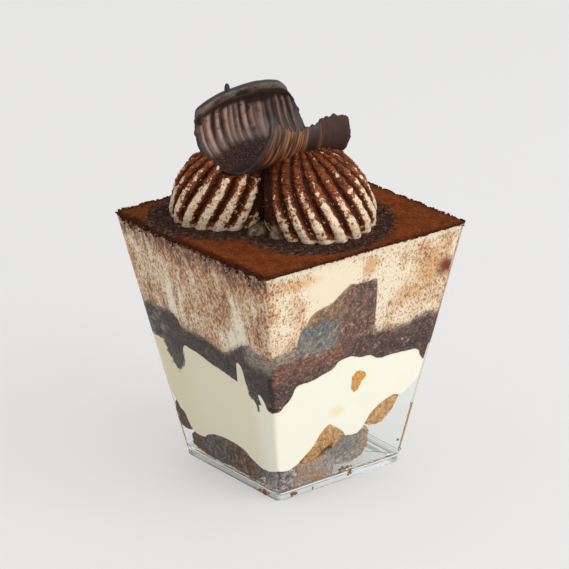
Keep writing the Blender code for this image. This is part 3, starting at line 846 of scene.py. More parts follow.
def cocoa_powder(look):
    """Dry cocoa, and a darker, wetter ring of it round the piped cream."""
    finish = Finish("cocoa_powder")
    step, grains, cloudy = finish.step, finish.grains, finish.noise
    place = finish.place()
    grain = cloudy(place, 0.55, 3.0, 0.7)
    patch = cloudy(place, 3.5, 3.0, 0.6)
    wet = step(finish.attribute("wet") + (patch - 0.5) * 0.6 + (grain - 0.5) * 0.7, 0.42, 0.58)
    dry = finish.mix(look.cocoa, look.cocoa_dark, step(patch, 0.38, 0.72) * 0.8)
    dry = finish.tint(dry, grains(place, 0.6, 0.24) * grains(place, 1.1, 0.12))
    clots = cloudy(place, 1.3, 2.0)
    soaked = finish.mix(look.cocoa_wet, (104, 84, 78), step(clots, 0.5, 0.62) * 0.7)
    soaked = finish.mix(soaked, (40, 24, 18), step(clots, 0.46, 0.36) * 0.8)
    soaked = finish.tint(soaked, grains(place, 0.8, 0.4))
    dry = finish.mix(dry, finish.tint(dry, 0.35), finish.attribute("edge"))
    finish.colour = finish.mix(dry, soaked, wet)
    return finish.coat(0.95, 0.05, grain + patch * 0.4, 0.25)


def loose_cocoa(look, name="loose_cocoa", colour=None):
    """Cocoa in crumbs."""
    finish = Finish(name)
    patch = finish.noise(finish.place(), 0.8, 2.0)
    base = list(colour or look.cocoa)
    shade = finish.mix(base, [c * 0.5 for c in base], finish.step(patch, 0.35, 0.65))
    return finish.set(Base_Color=shade, Roughness=0.95, Specular_IOR_Level=0.15)


def ridged_cream(look):
    """Whipped cream whose grooves and top hold cocoa, clumped in places and thin in others."""
    finish = Finish("ridged_cream")
    step, grains, cloudy, paint = finish.step, finish.grains, finish.noise, finish.paint
    place = finish.place()
    fine = cloudy(place, 0.5, 3.0, 0.68)
    clump = cloudy(place, 1.3, 3.0, 0.6)
    patch = cloudy(place, 2.6, 3.0, 0.6)
    dust = finish.attribute("dust")
    deep = finish.attribute("deep")
    rough = (fine - 0.5) * 0.7 + (clump - 0.5) * 2.2 + (patch - 0.5) * 0.8
    heavy = step(dust + rough, 0.42, 0.54)
    light = step(dust + rough * 0.9, 0.14, 0.46)
    cream = finish.mix(look.piped_cream, (226, 200, 160), step(patch, 0.4, 0.66) * 0.7)
    finish.colour = finish.mix(cream, (200, 142, 92), light * 0.8)
    specks = step(fine + dust * 0.12, 0.6, 0.64)
    paint((146, 82, 44), specks * 0.85)
    powder = finish.mix(look.cocoa_on_cream, look.cocoa_dark, step(clump, 0.56, 0.44))
    powder = finish.tint(powder, grains(place, 0.6, 0.35))
    # darker towards the bottom of the grooves and where the mounds meet: darker cocoa, and painted shade
    # there too
    powder = finish.mix(powder, look.groove, step(deep, 0.25, 0.6))
    paint(powder, heavy)
    return finish.coat(0.65, 0.2, fine + heavy * 0.8, 0.2, (look.cream_glow * 0.5, (1.0, 0.7, 0.4), 0.5))


def veiled_cream(look):
    """Cream painted in shade for the dabs deep between the mounds: greyer and browner than the clean
    ridges, with specks of wet cocoa.
    """
    finish = Finish("veiled_cream")
    place = finish.place()
    fine = finish.noise(place, 0.5, 3.0, 0.65)
    patch = finish.noise(place, 1.6, 3.0, 0.6)
    # painted shade: dark greyish browns in patches
    finish.colour = finish.mix((150, 134, 108), (88, 70, 52), finish.step(patch, 0.4, 0.6))
    finish.paint(look.cocoa_wet, finish.step(fine, 0.56, 0.66) * 0.7)
    return finish.coat(0.5, 0.25, fine, 0.12)


def dark_chocolate(look):
    """Half-glossy dark chocolate: ribs pale with bloom and painted highlight, a painted sheen on the lip
    and a crumbly belt inside, a scraped, streaky front with a painted highlight stripe.
    """
    finish = Finish("dark_chocolate")
    step, cloudy, paint, shade = finish.step, finish.noise, finish.paint, finish.shade
    place = finish.place()
    fine = cloudy(place, 0.5, 3.0, 0.7)
    patch = cloudy(place, 3.0, 3.0, 0.6)
    rib = finish.attribute("rib")
    rough = finish.attribute("crumbly")
    worn = finish.attribute("worn")
    matte = finish.attribute("matte")
    streak = finish.attribute("streak")
    # the ribs' pale colour: bloom, and painted highlight on their crests
    finish.colour = finish.mix(look.chocolate, look.rib_bloom_and_highlight, rib * step(patch, 0.25, 0.5))
    sheen = finish.attribute("lip") * step(patch, 0.3, 0.6)
    paint((112, 94, 84), sheen * 0.75)
    paint((60, 35, 25), matte * 0.9)
    # the scraped front's streaks, with a painted highlight stripe in the same mark
    scraped = finish.mix((52, 28, 15), look.chocolate_lit, streak)
    paint(scraped, worn)
    crumbs = finish.mix(look.chocolate_dark, (124, 72, 56), step(fine, 0.52, 0.62))
    paint(crumbs, rough * 0.85)
    shade(fine * 0.7 + 0.65)
    roughness = rough * 0.4 + matte * 0.3 + worn * 0.2 + fine * 0.12 + look.chocolate_roughness
    return finish.coat(roughness, 0.4, fine * (rough * 2.5 + 0.3) + patch * 0.6, 0.12)


def plain_floor(look):
    finish = Finish("pale_floor")
    tone = finish.noise(finish.place(), 60.0, 2.0)
    colour = finish.mix(look.floor, [c * 0.985 for c in look.floor], tone)
    return finish.set(
        Base_Color=colour,
        Roughness=0.9,
        Specular_IOR_Level=0.1,
        Emission_Color=(1, 1, 1),
        Emission_Strength=0.36,
    )


# ---------------------------------------------------------------- what a user may change
def colour(name, description, *default):
    kind = {"subtype": "COLOR", "size": 3, "min": 0, "max": 1, "default": linear(*default)}
    return bpy.props.FloatVectorProperty(name=name, description=description, **kind)


def share(name, description, default):
    kind = {"subtype": "FACTOR", "min": 0, "max": 1}
    return bpy.props.FloatProperty(name=name, description=description, default=default, **kind)


def number(name, description, default, least=0):
    return bpy.props.FloatProperty(name=name, description=description, default=default, min=least)


def length(name, description, default):
    kind = {"subtype": "DISTANCE", "unit": "LENGTH", "precision": 5}
    return bpy.props.FloatProperty(name=name, description=description, default=default, **kind)


def angle(name, description, degrees):
    kind = {"subtype": "ANGLE", "unit": "ROTATION", "default": math.radians(degrees)}
    return bpy.props.FloatProperty(name=name, description=description, **kind)


class TiramisuLook(bpy.types.PropertyGroup):
    """Colours and finishes"""

    tint: colour("Plastic", "Colour of the clear plastic", 252, 255, 255)
    passing: colour("Light through plastic", "Colour of light that passes through a wall", 251, 254, 255)
    roughness: share("Plastic roughness", "Roughness of the plastic", 0.03)
    # how milky the foot is, which also paints it lighter on the right side than on the left
    foot_haze_and_light: share("Foot haze", "How milky the thick foot of the cup is", 0.3)
    ior: number("Plastic IOR", "How strongly the plastic bends light", 1.25, 1)
    plain_cream: colour("Smooth cream", "Colour of the lower cream", 252, 245, 227)
    dusted_cream: colour("Speckled cream", "Colour of the upper cream between its specks", 247, 233, 207)
    tan: colour("Tan clouds", "Colour of the soft brown clouds in the upper cream", 222, 174, 128)
    speck: colour("Specks", "Colour of the specks in the upper cream", 140, 84, 48)
    cream_glow: share("Cream glow", "How far light goes into the cream", 0.25)
    dark_layer: colour("Dark layer", "Colour of the dark layer", 76, 60, 57)
    grey_band: colour("Grey band", "Colour of the hazy band on the dark layer", 150, 136, 122)
    cocoa: colour("Cocoa", "Colour of the dry cocoa", 124, 63, 28)
    cocoa_dark: colour("Dark cocoa", "Colour of the cocoa where it is thick", 90, 44, 20)
    cocoa_wet: colour("Wet cocoa", "Colour of the ring round the piped cream", 74, 50, 40)
    cocoa_on_cream: colour("Cocoa on cream", "Colour of the cocoa on the piped cream", 143, 72, 34)
    piped_cream: colour("Piped cream", "Colour of the clean ridges", 247, 227, 196)
    # the cocoa deep in the grooves is darker, which also paints the shade there
    groove: colour("Cocoa in grooves", "Colour of the cocoa deep in the grooves", 60, 24, 7)
    chocolate: colour("Chocolate", "Colour of the curl", 50, 36, 32)
    rib_bloom_and_highlight: colour("Chocolate bloom", "Colour of the curl's ribs", 200, 160, 142)
    chocolate_lit: colour("Worn chocolate", "Colour of the curl's scraped front", 160, 106, 62)
    chocolate_dark: colour("Dark chocolate", "Colour of the curl's crumbly belt", 40, 26, 24)
    chocolate_roughness: share("Chocolate roughness", "Least roughness of the curl", 0.26)
    sponge_gold: colour("Dry sponge", "Colour of the dry sponge", 204, 158, 106)
    sponge_brown: colour("Brown sponge", "Colour of the sponge's browner parts", 168, 122, 78)
    sponge_grey: colour("Damp sponge", "Colour of the soaked sponge", 148, 137, 129)
    floor: colour("Floor", "Colour of the floor", 188, 188, 188)


class TiramisuSizes(bpy.types.PropertyGroup):
    """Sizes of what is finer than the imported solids"""

    rim_round: length("Rim round", "Radius of the cup's rim and foot edges", 0.3 * MM)
    ridge_depth: length("Ridge depth", "Depth of the grooves in the piped cream", 2.2 * MM)
    rib_depth: length("Rib depth", "Depth of the grooves inside the curl", 0.38 * MM)
    cocoa_cover: length("Cocoa cover", "Thickness of the cocoa above the rim", 0.4 * MM)
    wet_ring: length("Wet ring", "Width of the dark ring round the piped cream", 4.0 * MM)
    sponge_voxel: length("Sponge detail", "Size of the smallest pits in the sponge", 0.36 * MM)
    crumbs: bpy.props.IntProperty(
        name="Crumbs", description="Crumbs of cocoa on each group of surfaces", min=0, default=2400
    )


class TiramisuStage(bpy.types.PropertyGroup):
    """Camera and lamps"""

    azimuth: angle("Azimuth", "Where the camera stands round the cup", -37.37)
    elevation: angle("Elevation", "How far the camera looks down", 20.99)
    roll: angle("Roll", "How far the camera leans", -0.852)
    distance: length("Distance", "How far off the camera stands", 0.8)
    aside: length("Aside", "How far the view's middle lies beside the cup's axis", -1.479 * MM)
    above: length("Above", "How far the view's middle lies above half the cup's height", 14.472 * MM)
    lens: number("Lens", "Focal length in mm", 190.7)
    room: share("Room light", "Brightness of the light from all round", 0.56)
    key: number("Key lamp", "Power of the lamp at the right", 17.5)
    top: number("Top lamp", "Power of the lamp overhead", 5.0)


# ---------------------------------------------------------------- the piped cream's and the curl's forms
VIEW_TURN = math.radians(-37.4)  # the direction in which the two mounds stand side by side
SIDEWAYS = Vector((math.cos(VIEW_TURN), math.sin(VIEW_TURN), 0))
AWAY = Vector((-math.sin(VIEW_TURN), math.cos(VIEW_TURN), 0))
CLEFT_ALONG = -6.3 * MM
# centre, half lengths along and across, height, fullness, lean of the tip, ridges, twist in degrees
MOUNDS = {
    "piped_cream_left": ((-13.0, 11.7), (14.3, 13.3), 19.8, 2.9, (0.7, -4.5), 17, 32),
    "piped_cream_right": ((3.6, -8.4), (15.5, 18.6), 20.3, 2.5, (-1.9, 4.8), 19, -24),
}
DABS = {
    "cream_dab_left": ((-13.8, -4.5), (2.9, 2.3, 2.6)),
    "cream_dab_right": ((-11.2, -10.2), (2.6, 2.4, 3.2)),
}
CURL_PLACE = Matrix.Translation((-5.9 * MM, 2.0 * MM, CUP_HEIGHT + 25.4 * MM)) @ Matrix.Rotation(
    math.radians(-2.8), 4, "Z"
)
CURL_RADIUS = 10.1 * MM
CURL_LONG, CURL_ROUND = 28, 46  # the curl's length and its unrolled width in mm
# the ribs inside the curl: place along it, half width and height, as shares
RIBS = (
    (0.05, 0.016, 0.7), (0.115, 0.024, 1.0), (0.205, 0.022, 1.0), (0.285, 0.017, 1.1),
    (0.335, 0.014, 0.8), (0.385, 0.015, 1.0), (0.45, 0.020, 1.0), (0.53, 0.018, 0.5), (0.61, 0.040, 0.8),
    (0.70, 0.022, 0.6),
    (0.785, 0.018, 0.9), (0.85, 0.016, 1.0), (0.915, 0.014, 0.8),
)


def off_cream(x, y):
    """How far points on the bed lie from the piped cream's feet; below 0 inside them."""
    nearest = np.full(len(x), 1.0)
    for (centre_x, centre_y), halves, *_ in MOUNDS.values():
        dx, dy = x - centre_x * MM, y - centre_y * MM
        a = (dx * SIDEWAYS.x + dy * SIDEWAYS.y) / (halves[0] * MM)
        b = (dx * AWAY.x + dy * AWAY.y) / (halves[1] * MM)
        nearest = np.minimum(nearest, (np.hypot(a, b) - 1) * sum(halves) / 2 * MM)
    return nearest


def clear_of_curl(points):
    """Moves points that would stand in the curl down to its outer side."""
    inside = CURL_PLACE.inverted()
    local = points @ np.array(inside.to_3x3()).T + np.array(inside.translation)
    radius = np.hypot(local[:, 1], local[:, 2])
    wanted = CURL_RADIUS + 0.45 * MM
    within = (radius < wanted) & (np.abs(local[:, 0] - 3 * MM) < 17 * MM) & (local[:, 2] < 0)
    factor = np.where(within, wanted / np.maximum(radius, 1e-6), 1.0)
    local[:, 1] *= factor
    local[:, 2] *= factor
    return local @ np.array(CURL_PLACE.to_3x3()).T + np.array(CURL_PLACE.translation)


# ---------------------------------------------------------------- crumbs
def crumb_shapes():
    """Five small lumps of a few dozen faces each, as arrays of points, and the faces they share."""
    lumps = []
    for number in range(5):
        lump = start(bpy.ops.mesh.primitive_ico_sphere_add, "lump", subdivisions=1, radius=1)
        with editing(lump, everything=True):
            bpy.ops.transform.vertex_random(offset=0.42, seed=number + 3)
        points = points_of(lump)
        faces = [tuple(face.vertices) for face in lump.data.polygons]
        lumps.append(points * (1, 1, 0.8))
        bpy.data.objects.remove(lump)
    return lumps, np.array(faces)


def sprinkle(name, places, sizes, seed, material, slot):
    """One piece of many crumbs, one at each place, turned at random."""
    rng = np.random.default_rng(seed)
    lumps, faces = crumb_shapes()
    all_points, all_faces = [], []
    for number, (place, size) in enumerate(zip(places, sizes)):
        spin = rng.normal(size=4)
        w, x, y, z = spin / np.linalg.norm(spin)
        turn = np.array(
            (
                (1 - 2 * (y * y + z * z), 2 * (x * y - z * w), 2 * (x * z + y * w)),
                (2 * (x * y + z * w), 1 - 2 * (x * x + z * z), 2 * (y * z - x * w)),
                (2 * (x * z - y * w), 2 * (y * z + x * w), 1 - 2 * (x * x + y * y)),
            )
        )
        lump = lumps[number % len(lumps)]
        all_points.append(lump @ turn.T * size + place)
        all_faces.append(faces + number * len(lump))
    mesh = bpy.data.meshes.new(name)
    mesh.from_pydata(np.concatenate(all_points).tolist(), [], np.concatenate(all_faces).tolist())
    piece = bpy.data.objects.new(name, mesh)
    bpy.context.scene.collection.objects.link(piece)
    finish_piece(piece, material, slot)
    return piece


def chosen(weights, count, rng):
    """Numbers of points picked at random, more often where their weight is high."""
    weights = np.clip(np.asarray(weights, float), 0, None)
    return rng.choice(len(weights), size=count, p=weights / weights.sum())


# ---------------------------------------------------------------- operators
class TIRAMISU_OT_cup(bpy.types.Operator):
    """Makes the clear cup: a tapered square with round corners, a thin wall and a recessed foot"""

    bl_idname = "tiramisu.cup"
    bl_label = "Clear Cup"

    def execute(self, context):
        look, sizes = context.scene.tiramisu_look, context.scene.tiramisu_sizes
        edge = sizes.rim_round
        cup = start(
            bpy.ops.mesh.primitive_cube_add,
            "clear_cup",
            size=2 * CUP_TOP_HALF,
            location=(0, 0, CUP_HEIGHT / 2),
            scale=(1, 1, CUP_HEIGHT / 2 / CUP_TOP_HALF),
        )
        taper = CUP_BASE_HALF / CUP_TOP_HALF
        floor_share = (cup_half(FLOOR_TOP) - CUP_WALL) / (CUP_TOP_HALF - CUP_WALL)
        with editing(cup):
            pick(cup, lambda face: face.normal.z < -0.5)
            bpy.ops.transform.resize(value=(taper, taper, 1), center_override=(0, 0, 0))
            pick(cup, lambda e: abs(e.verts[0].co.z - e.verts[1].co.z) > CUP_HEIGHT / 2, "edges")
            bpy.ops.mesh.bevel(offset=CUP_CORNER, segments=8, affect="EDGES")
            pick(cup, lambda face: face.normal.z > 0.5)
            bpy.ops.mesh.inset(thickness=CUP_WALL)
            down = {"value": (0, 0, FLOOR_TOP - CUP_HEIGHT)}
            bpy.ops.mesh.extrude_region_move(TRANSFORM_OT_translate=down)
            bpy.ops.transform.resize(value=(floor_share, floor_share, 1), center_override=(0, 0, 0))
            pick(cup, lambda face: face.normal.z < -0.5)
            bpy.ops.mesh.inset(thickness=FOOT_RING)
            bpy.ops.mesh.extrude_region_move(TRANSFORM_OT_translate={"value": (0, 0, FOOT_RECESS)})
            for height, radius in ((CUP_HEIGHT, edge), (0, edge), (FLOOR_TOP, 2.5 * edge)):
                pick(
                    cup,
                    lambda e: abs(edge_centre(e).z - height) < 0.01 * MM and e.calc_face_angle(0) > 0.6,
                    "edges",
                )
                bpy.ops.mesh.bevel(offset=radius, segments=4, affect="EDGES")
        smooth(cup, 35)
        finish_piece(cup, clear_plastic(look), "clear_plastic", "cup")
        return {"FINISHED"}


class TIRAMISU_OT_layers(bpy.types.Operator):
    """Makes the smooth cream, the dark layer, the speckled cream and the wedge of soaked sponge"""

    bl_idname = "tiramisu.layers"
    bl_label = "Cream and Chocolate Layers"

    def execute(self, context):
        look = context.scene.tiramisu_look
        sponge_top = border(SPONGE_TOP, LAYER_CELLS, 0.12)
        cream_top = border(CREAM_TOP, LAYER_CELLS, 0.14)
        chocolate_top = border(CHOCOLATE_TOP, LAYER_CELLS, 0.5)
        cocoa_bottom = border(COCOA_BOTTOM, LAYER_CELLS, 0.3)
        lower = layer("smooth_cream", sponge_top, cream_top)
        finish_piece(lower, plain_cream(look), "cream", "cream_lower")
        dark = layer("dark_filling", cream_top, chocolate_top)
        finish_piece(dark, dark_layer(look), "chocolate_layer", "chocolate_layer")
        upper = layer("speckled_cream", chocolate_top, cocoa_bottom)
        finish_piece(upper, dusted_cream(look), "cream", "cream_upper")
        self.make_wedge()
        return {"FINISHED"}

    def make_wedge(self):
        wedge = grid_slab("soaked_wedge", WEDGE_CELLS)
        points = points_of(wedge)
        first, last = WEDGE_TOP[0][0] * MM, WEDGE_TOP[-1][0] * MM
        x = first + (last - first) * (points[:, 0] + 1) / 2
        inward = (points[:, 1] + 1) / 2
        high = np.array([along(WEDGE_TOP, value / MM) for value in x]) * MM
        high += noise_at(np.stack([x, inward * WEDGE_DEPTH, x * 0], 1), 1.4 * MM, 2) * 0.25 * MM
        low = np.minimum(43.0 * MM, high - 1.2 * MM)
        high = high - inward**2 * (high - low) * 0.25
        z = np.where(points[:, 2] > 0, high, low)
        note(wedge, "below", (high - z) / MM)
        y = -reach_half(z, INTO_WALL + 0.12 * MM) + inward * WEDGE_DEPTH
        move_points(wedge, np.stack([x, y, z], 1))
        smooth(wedge, 50)
        finish_piece(wedge, soaked_wedge(), "soaked_sponge", "sponge_wedge")


class TIRAMISU_OT_sponge(bpy.types.Operator):
    """Makes the chopped sponge fingers: pitted, and flat only where they press against the wall"""

    bl_idname = "tiramisu.sponge"
    bl_label = "Sponge Fingers"

    pieces = [name for name in frame["nodes"] if name.startswith("sponge") and name != "sponge_wedge"]

    def execute(self, context):
        look, sizes = context.scene.tiramisu_look, context.scene.tiramisu_sizes
        finish = sponge(look)
        for node in self.pieces:
            mesh = frame["nodes"][node].data.copy()
            piece = bpy.data.objects.new(node.replace("sponge", "finger"), mesh)
            context.scene.collection.objects.link(piece)
            with editing(piece, everything=True):
                bpy.ops.mesh.remove_doubles(threshold=0.001 * MM)
            apply_modifier(piece, "REMESH", mode="VOXEL", voxel_size=sizes.sponge_voxel)
            keep_main_part(piece)
            roughen(piece, 3.2 * MM, (0.3 if node == "sponge_bit" else 0.9) * MM)
            roughen(piece, 1.6 * MM, 0.4 * MM)
            roughen(piece, 0.7 * MM, 0.4 * MM)
            self.press_to_wall(piece, node)
            smooth(piece, 60)
            finish_piece(piece, finish, "sponge", node)
        return {"FINISHED"}

    def press_to_wall(self, piece, node):
        """Stretches the piece up under the cream, and brings its nearest side flat into the wall."""
        points = points_of(piece)
        low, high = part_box(node)
        if node != "sponge_bit":
            points[:, 2] += 0.8 * MM * smoothstep(0.5, 0.9, (points[:, 2] - low.z) / (high.z - low.z))
            points[:, 2] = np.maximum(points[:, 2], FLOOR_TOP + 0.05 * MM)
        if node == "sponge_core":
            move_points(piece, points)
            return
        for row, axis in (("sponge_left", 1), ("sponge_back", 0)):
            if node.startswith(row):
                points[:, axis] += 0.12 * (points[:, axis] - (low[axis] + high[axis]) / 2)
        if node == "sponge_front":
            shift = 1.6 * MM * smoothstep(-10 * MM, -5 * MM, points[:, 0])
            points += np.stack([shift, 0 * shift, shift * (points[:, 2] > 5 * MM)], 1)
        if node == "sponge_low":
            lift = (5.4 * MM - 0.25 * points[:, 0]) * smoothstep(-14 * MM, -18 * MM, points[:, 1])
            points[:, 2] = np.maximum(points[:, 2], lift)
        into = INTO_WALL + (0.08 if node == "sponge_bit" else -0.06) * MM
        reach = reach_half(points[:, 2], into)
        for axis in (0, 1):
            off = reach - np.abs(points[:, axis])
            pressed = np.where(off < NEAR_WALL, 0, off)
            blend = smoothstep(NEAR_WALL, OFF_WALL, off)
            pressed = np.where(off < OFF_WALL, off * blend, pressed)
            points[:, axis] = np.sign(points[:, axis]) * (reach - pressed)
        move_points(piece, points)


class TIRAMISU_OT_cocoa(bpy.types.Operator):
    """Makes the bed of cocoa, level with the rim and lying over it, with a wet ring round the cream"""

    bl_idname = "tiramisu.cocoa"
    bl_label = "Bed of Cocoa"

    def execute(self, context):
        look, sizes = context.scene.tiramisu_look, context.scene.tiramisu_sizes
        bottom = border(COCOA_BOTTOM, BED_CELLS, 0.3)
        bed = layer("cocoa_bed", bottom, np.full_like(bottom, CUP_HEIGHT))
        cells = {"x_subdivisions": COVER_CELLS, "y_subdivisions": COVER_CELLS}
        cover = start(bpy.ops.mesh.primitive_grid_add, "cocoa_cover", size=2, **cells)
        with editing(cover):
            pick(cover, lambda e: e.is_boundary, "edges")
            bpy.ops.mesh.extrude_region_move(TRANSFORM_OT_translate={"value": (0, 0, -1)})
            bpy.ops.mesh.edge_face_add()
            bpy.ops.mesh.select_all(action="SELECT")
            bpy.ops.mesh.normals_make_consistent(inside=False)
        points = points_of(cover)
        top = points[:, 2] > -0.5
        outward = np.maximum(np.abs(points[:, 0]), np.abs(points[:, 1]))
        ragged = noise_at(points * (1, 1, 0), 0.03, 4) * 0.22
        ragged += noise_at(points * (1, 1, 0), 0.11, 5) * 0.18
        ragged *= 0.3 + 0.7 * smoothstep(-0.98, -0.9, points[:, 1])
        half = CUP_TOP_HALF - (0.12 - ragged) * MM
        x, y = round_corners(points[:, 0] * half, points[:, 1] * half, half, CUP_CORNER)
        flat = np.stack([x, y, x * 0], 1)
        lift = sizes.cocoa_cover * (1 - 0.55 * smoothstep(0.985, 1.0, outward))
        waves = noise_at(flat, 2.4 * MM, 6) * 0.12
        waves += noise_at(flat, 0.8 * MM, 7) * 0.09
        off_foot = off_cream(x, y) - noise_at(flat, 4.0 * MM, 8) * 1.7 * MM
        off_foot -= noise_at(flat, 1.2 * MM, 38) * 0.9 * MM
        widened = 2.2 * MM * smoothstep(-4 * MM, -18 * MM, x)
        off_foot -= widened + 0.8 * MM * smoothstep(4 * MM, -12 * MM, y)
        wet = 1 - smoothstep(0.85, 1.15, off_foot / sizes.wet_ring)
        lumps = noise_at(flat, 1.1 * MM, 9) * 0.34 * wet
        z = np.where(top, CUP_HEIGHT + lift + (waves + lumps - 0.12 * wet) * MM, CUP_HEIGHT - 0.1 * MM)
        move_points(cover, np.stack([x, y, z], 1))
        note(cover, "wet", wet)
        edge = smoothstep(0.93, 0.985, outward + noise_at(points, 0.06, 10) * 0.03)
        far_side = smoothstep(0.9, 0.96, np.maximum(points[:, 1], -points[:, 0]))
        note(cover, "edge", edge * (0.6 + 0.4 * far_side))
        smooth(cover, 60)
        join(bed, cover)
        finish_piece(bed, cocoa_powder(look), "cocoa", "cocoa_top")
        return {"FINISHED"}


class TIRAMISU_OT_piped_cream(bpy.types.Operator):
    """Makes the two ridged mounds of piped cream and the two dabs at the foot of their cleft"""

    bl_idname = "tiramisu.piped_cream"
    bl_label = "Piped Cream"

    def execute(self, context):
        look, sizes = context.scene.tiramisu_look, context.scene.tiramisu_sizes
        finish, shaded_dab_finish = ridged_cream(look), veiled_cream(look)
        for node in MOUNDS:
            self.make_mound(node, sizes, finish)
        for node, (centre, halves) in DABS.items():
            dab = start(
                bpy.ops.mesh.primitive_uv_sphere_add,
                node.replace("cream_dab", "smooth_dab"),
                segments=48,
                ring_count=32,
                radius=MM,
                location=(centre[0] * MM, centre[1] * MM, CUP_HEIGHT + SEAT),
                scale=halves,
            )
            roughen(dab, 2.5 * MM, 0.7 * MM)
            smooth(dab, 80)
            finish_piece(dab, shaded_dab_finish, "cream", node)
        return {"FINISHED"}

    def make_mound(self, node, sizes, finish):
        centre, halves, height, fullness, lean, ridges, twist = MOUNDS[node]
        left = node.endswith("left")
        mound = start(
            bpy.ops.mesh.primitive_uv_sphere_add,
            node.replace("piped", "ridged"),
            segments=ridges * 14,
            ring_count=230,
            radius=1,
        )
        with editing(mound, everything=True):
            cut = {"plane_co": (0, 0, 0.004), "plane_no": (0, 0, 1)}
            bpy.ops.mesh.bisect(**cut, use_fill=True, clear_inner=True)
        points = points_of(mound)
        rise = np.clip(points[:, 2], 0, 1)
        turn = np.arctan2(points[:, 1], points[:, 0])
        round_points = np.stack([np.cos(turn) * 3, np.sin(turn) * 3, rise * 3], 1)
        sway = noise_at(round_points, 1.1, 11 if left else 12) * 0.05
        sway += noise_at(round_points, 0.35, 17) * 0.012
        phase = np.abs(np.sin(ridges * (turn + sway * rise) / 2))
        spread = (1 - rise**fullness) ** (1 / fullness) * (1 - 0.06 * np.maximum(0, 1 - rise / 0.2))
        groove_share = 1 - phase**0.9
        depth = sizes.ridge_depth * (0.75 + 0.35 * noise_at(round_points, 0.9, 13))
        groove = depth * groove_share * np.minimum(1, 3 * spread)
        turned = turn + math.radians(twist) * rise
        lean_x, lean_y = (value * MM * rise**1.3 for value in lean)
        a = np.cos(turned) * (halves[0] * MM * spread - groove)
        b = np.sin(turned) * (halves[1] * MM * spread - groove)
        x = centre[0] * MM + lean_x + SIDEWAYS.x * a + AWAY.x * b
        y = centre[1] * MM + lean_y + SIDEWAYS.y * a + AWAY.y * b
        z = CUP_HEIGHT + SEAT + height * MM * rise
        placed = np.stack([x, y, z], 1)
        move_points(mound, placed)
        out = normals_of(mound)
        torn = noise_at(placed, 0.7 * MM, 14) * 0.22
        torn += noise_at(placed * (1, 1, 1.8), 1.7 * MM, 15) * 0.42
        torn += noise_at(placed * (0.5, 0.5, 2.2), 1.3 * MM, 18) * 0.22 * (1 - groove_share)
        torn *= np.clip(spread * 4, 0, 1) * (0.45 + 0.55 * smoothstep(0.25, 0.6, rise))
        placed = placed + out * (torn * MM)[:, None]
        placed[:, 2] = np.maximum(placed[:, 2], CUP_HEIGHT + 0.1 * MM)
        move_points(mound, clear_of_curl(placed))
        note(mound, "dust", self.dust(placed, out, rise, groove_share, left))
        # deep: 1 low in the grooves and where the mounds meet, where the material darkens the cocoa,
        # partly as painted shade
        deep = np.maximum(groove_share * smoothstep(0.02, 0.2, rise), self.near_cleft(placed))
        note(mound, "deep", deep)
        beyond = SIDEWAYS if left else -SIDEWAYS
        with editing(mound, everything=True):
            bpy.ops.mesh.bisect(plane_co=SIDEWAYS * CLEFT_ALONG, plane_no=beyond, clear_outer=True)
            bpy.ops.mesh.select_all(action="SELECT")
            bpy.ops.mesh.fill_holes(sides=0)
            bpy.ops.mesh.select_all(action="SELECT")
            bpy.ops.mesh.normals_make_consistent(inside=False)
        smooth(mound, 70)
        finish_piece(mound, finish, "cream", node)

    def near_cleft(self, points):
        """1 where the two mounds meet, 0 further off."""
        return smoothstep(3.2 * MM, 0.8 * MM, np.abs(points @ np.array(SIDEWAYS) - CLEFT_ALONG))

    def dust(self, points, out, rise, groove, left):
        """How much cocoa lies at each point: in the grooves, towards the top and at the back, and, as
        painted shade as well, in the cleft and on the right mound's side facing it.
        """
        facing = out @ np.array((SIDEWAYS.x, SIDEWAYS.y, 0))
        away = out @ np.array((AWAY.x, AWAY.y, 0))
        cloud = noise_at(points, 3.0 * MM, 16) + 0.5 * noise_at(points, 1.5 * MM, 19)
        narrow = 0.16 * smoothstep(0.1, 0.8, rise + 0.25 * cloud)
        in_grooves = smoothstep(0.19 - narrow, 0.42 - narrow, groove) * smoothstep(0.0, 0.1, rise)
        on_top = smoothstep(0.42, 0.9, rise + 0.16 * cloud)
        upward = smoothstep(0.35, 0.85, out[:, 2])
        dust = 0.06 + 0.75 * in_grooves + 0.28 * on_top + 0.12 * upward + 0.16 * cloud
        if left:
            dust += 0.2 * smoothstep(0.15, -0.75, facing) * smoothstep(0.15, 0.5, rise)
        else:
            dust += 0.12 * smoothstep(0.3, 0.8, facing) * smoothstep(0.15, 0.5, rise)
            # more cocoa on the right mound's side that faces the cleft, which also paints the shade that
            # falls there
            dust += 0.3 * smoothstep(0.1, -0.6, facing) * smoothstep(0.12, 0.4, rise)
            dust += 0.26 * smoothstep(0.4, 0.8, rise + 0.25 * cloud)
        dust += 0.25 * smoothstep(0.2, 0.8, away)
        # more cocoa where the mounds meet, which also paints the shade in the cleft
        dust += 0.6 * self.near_cleft(points) * smoothstep(0.04, 0.2, rise)
        return np.clip(dust, 0, 1)


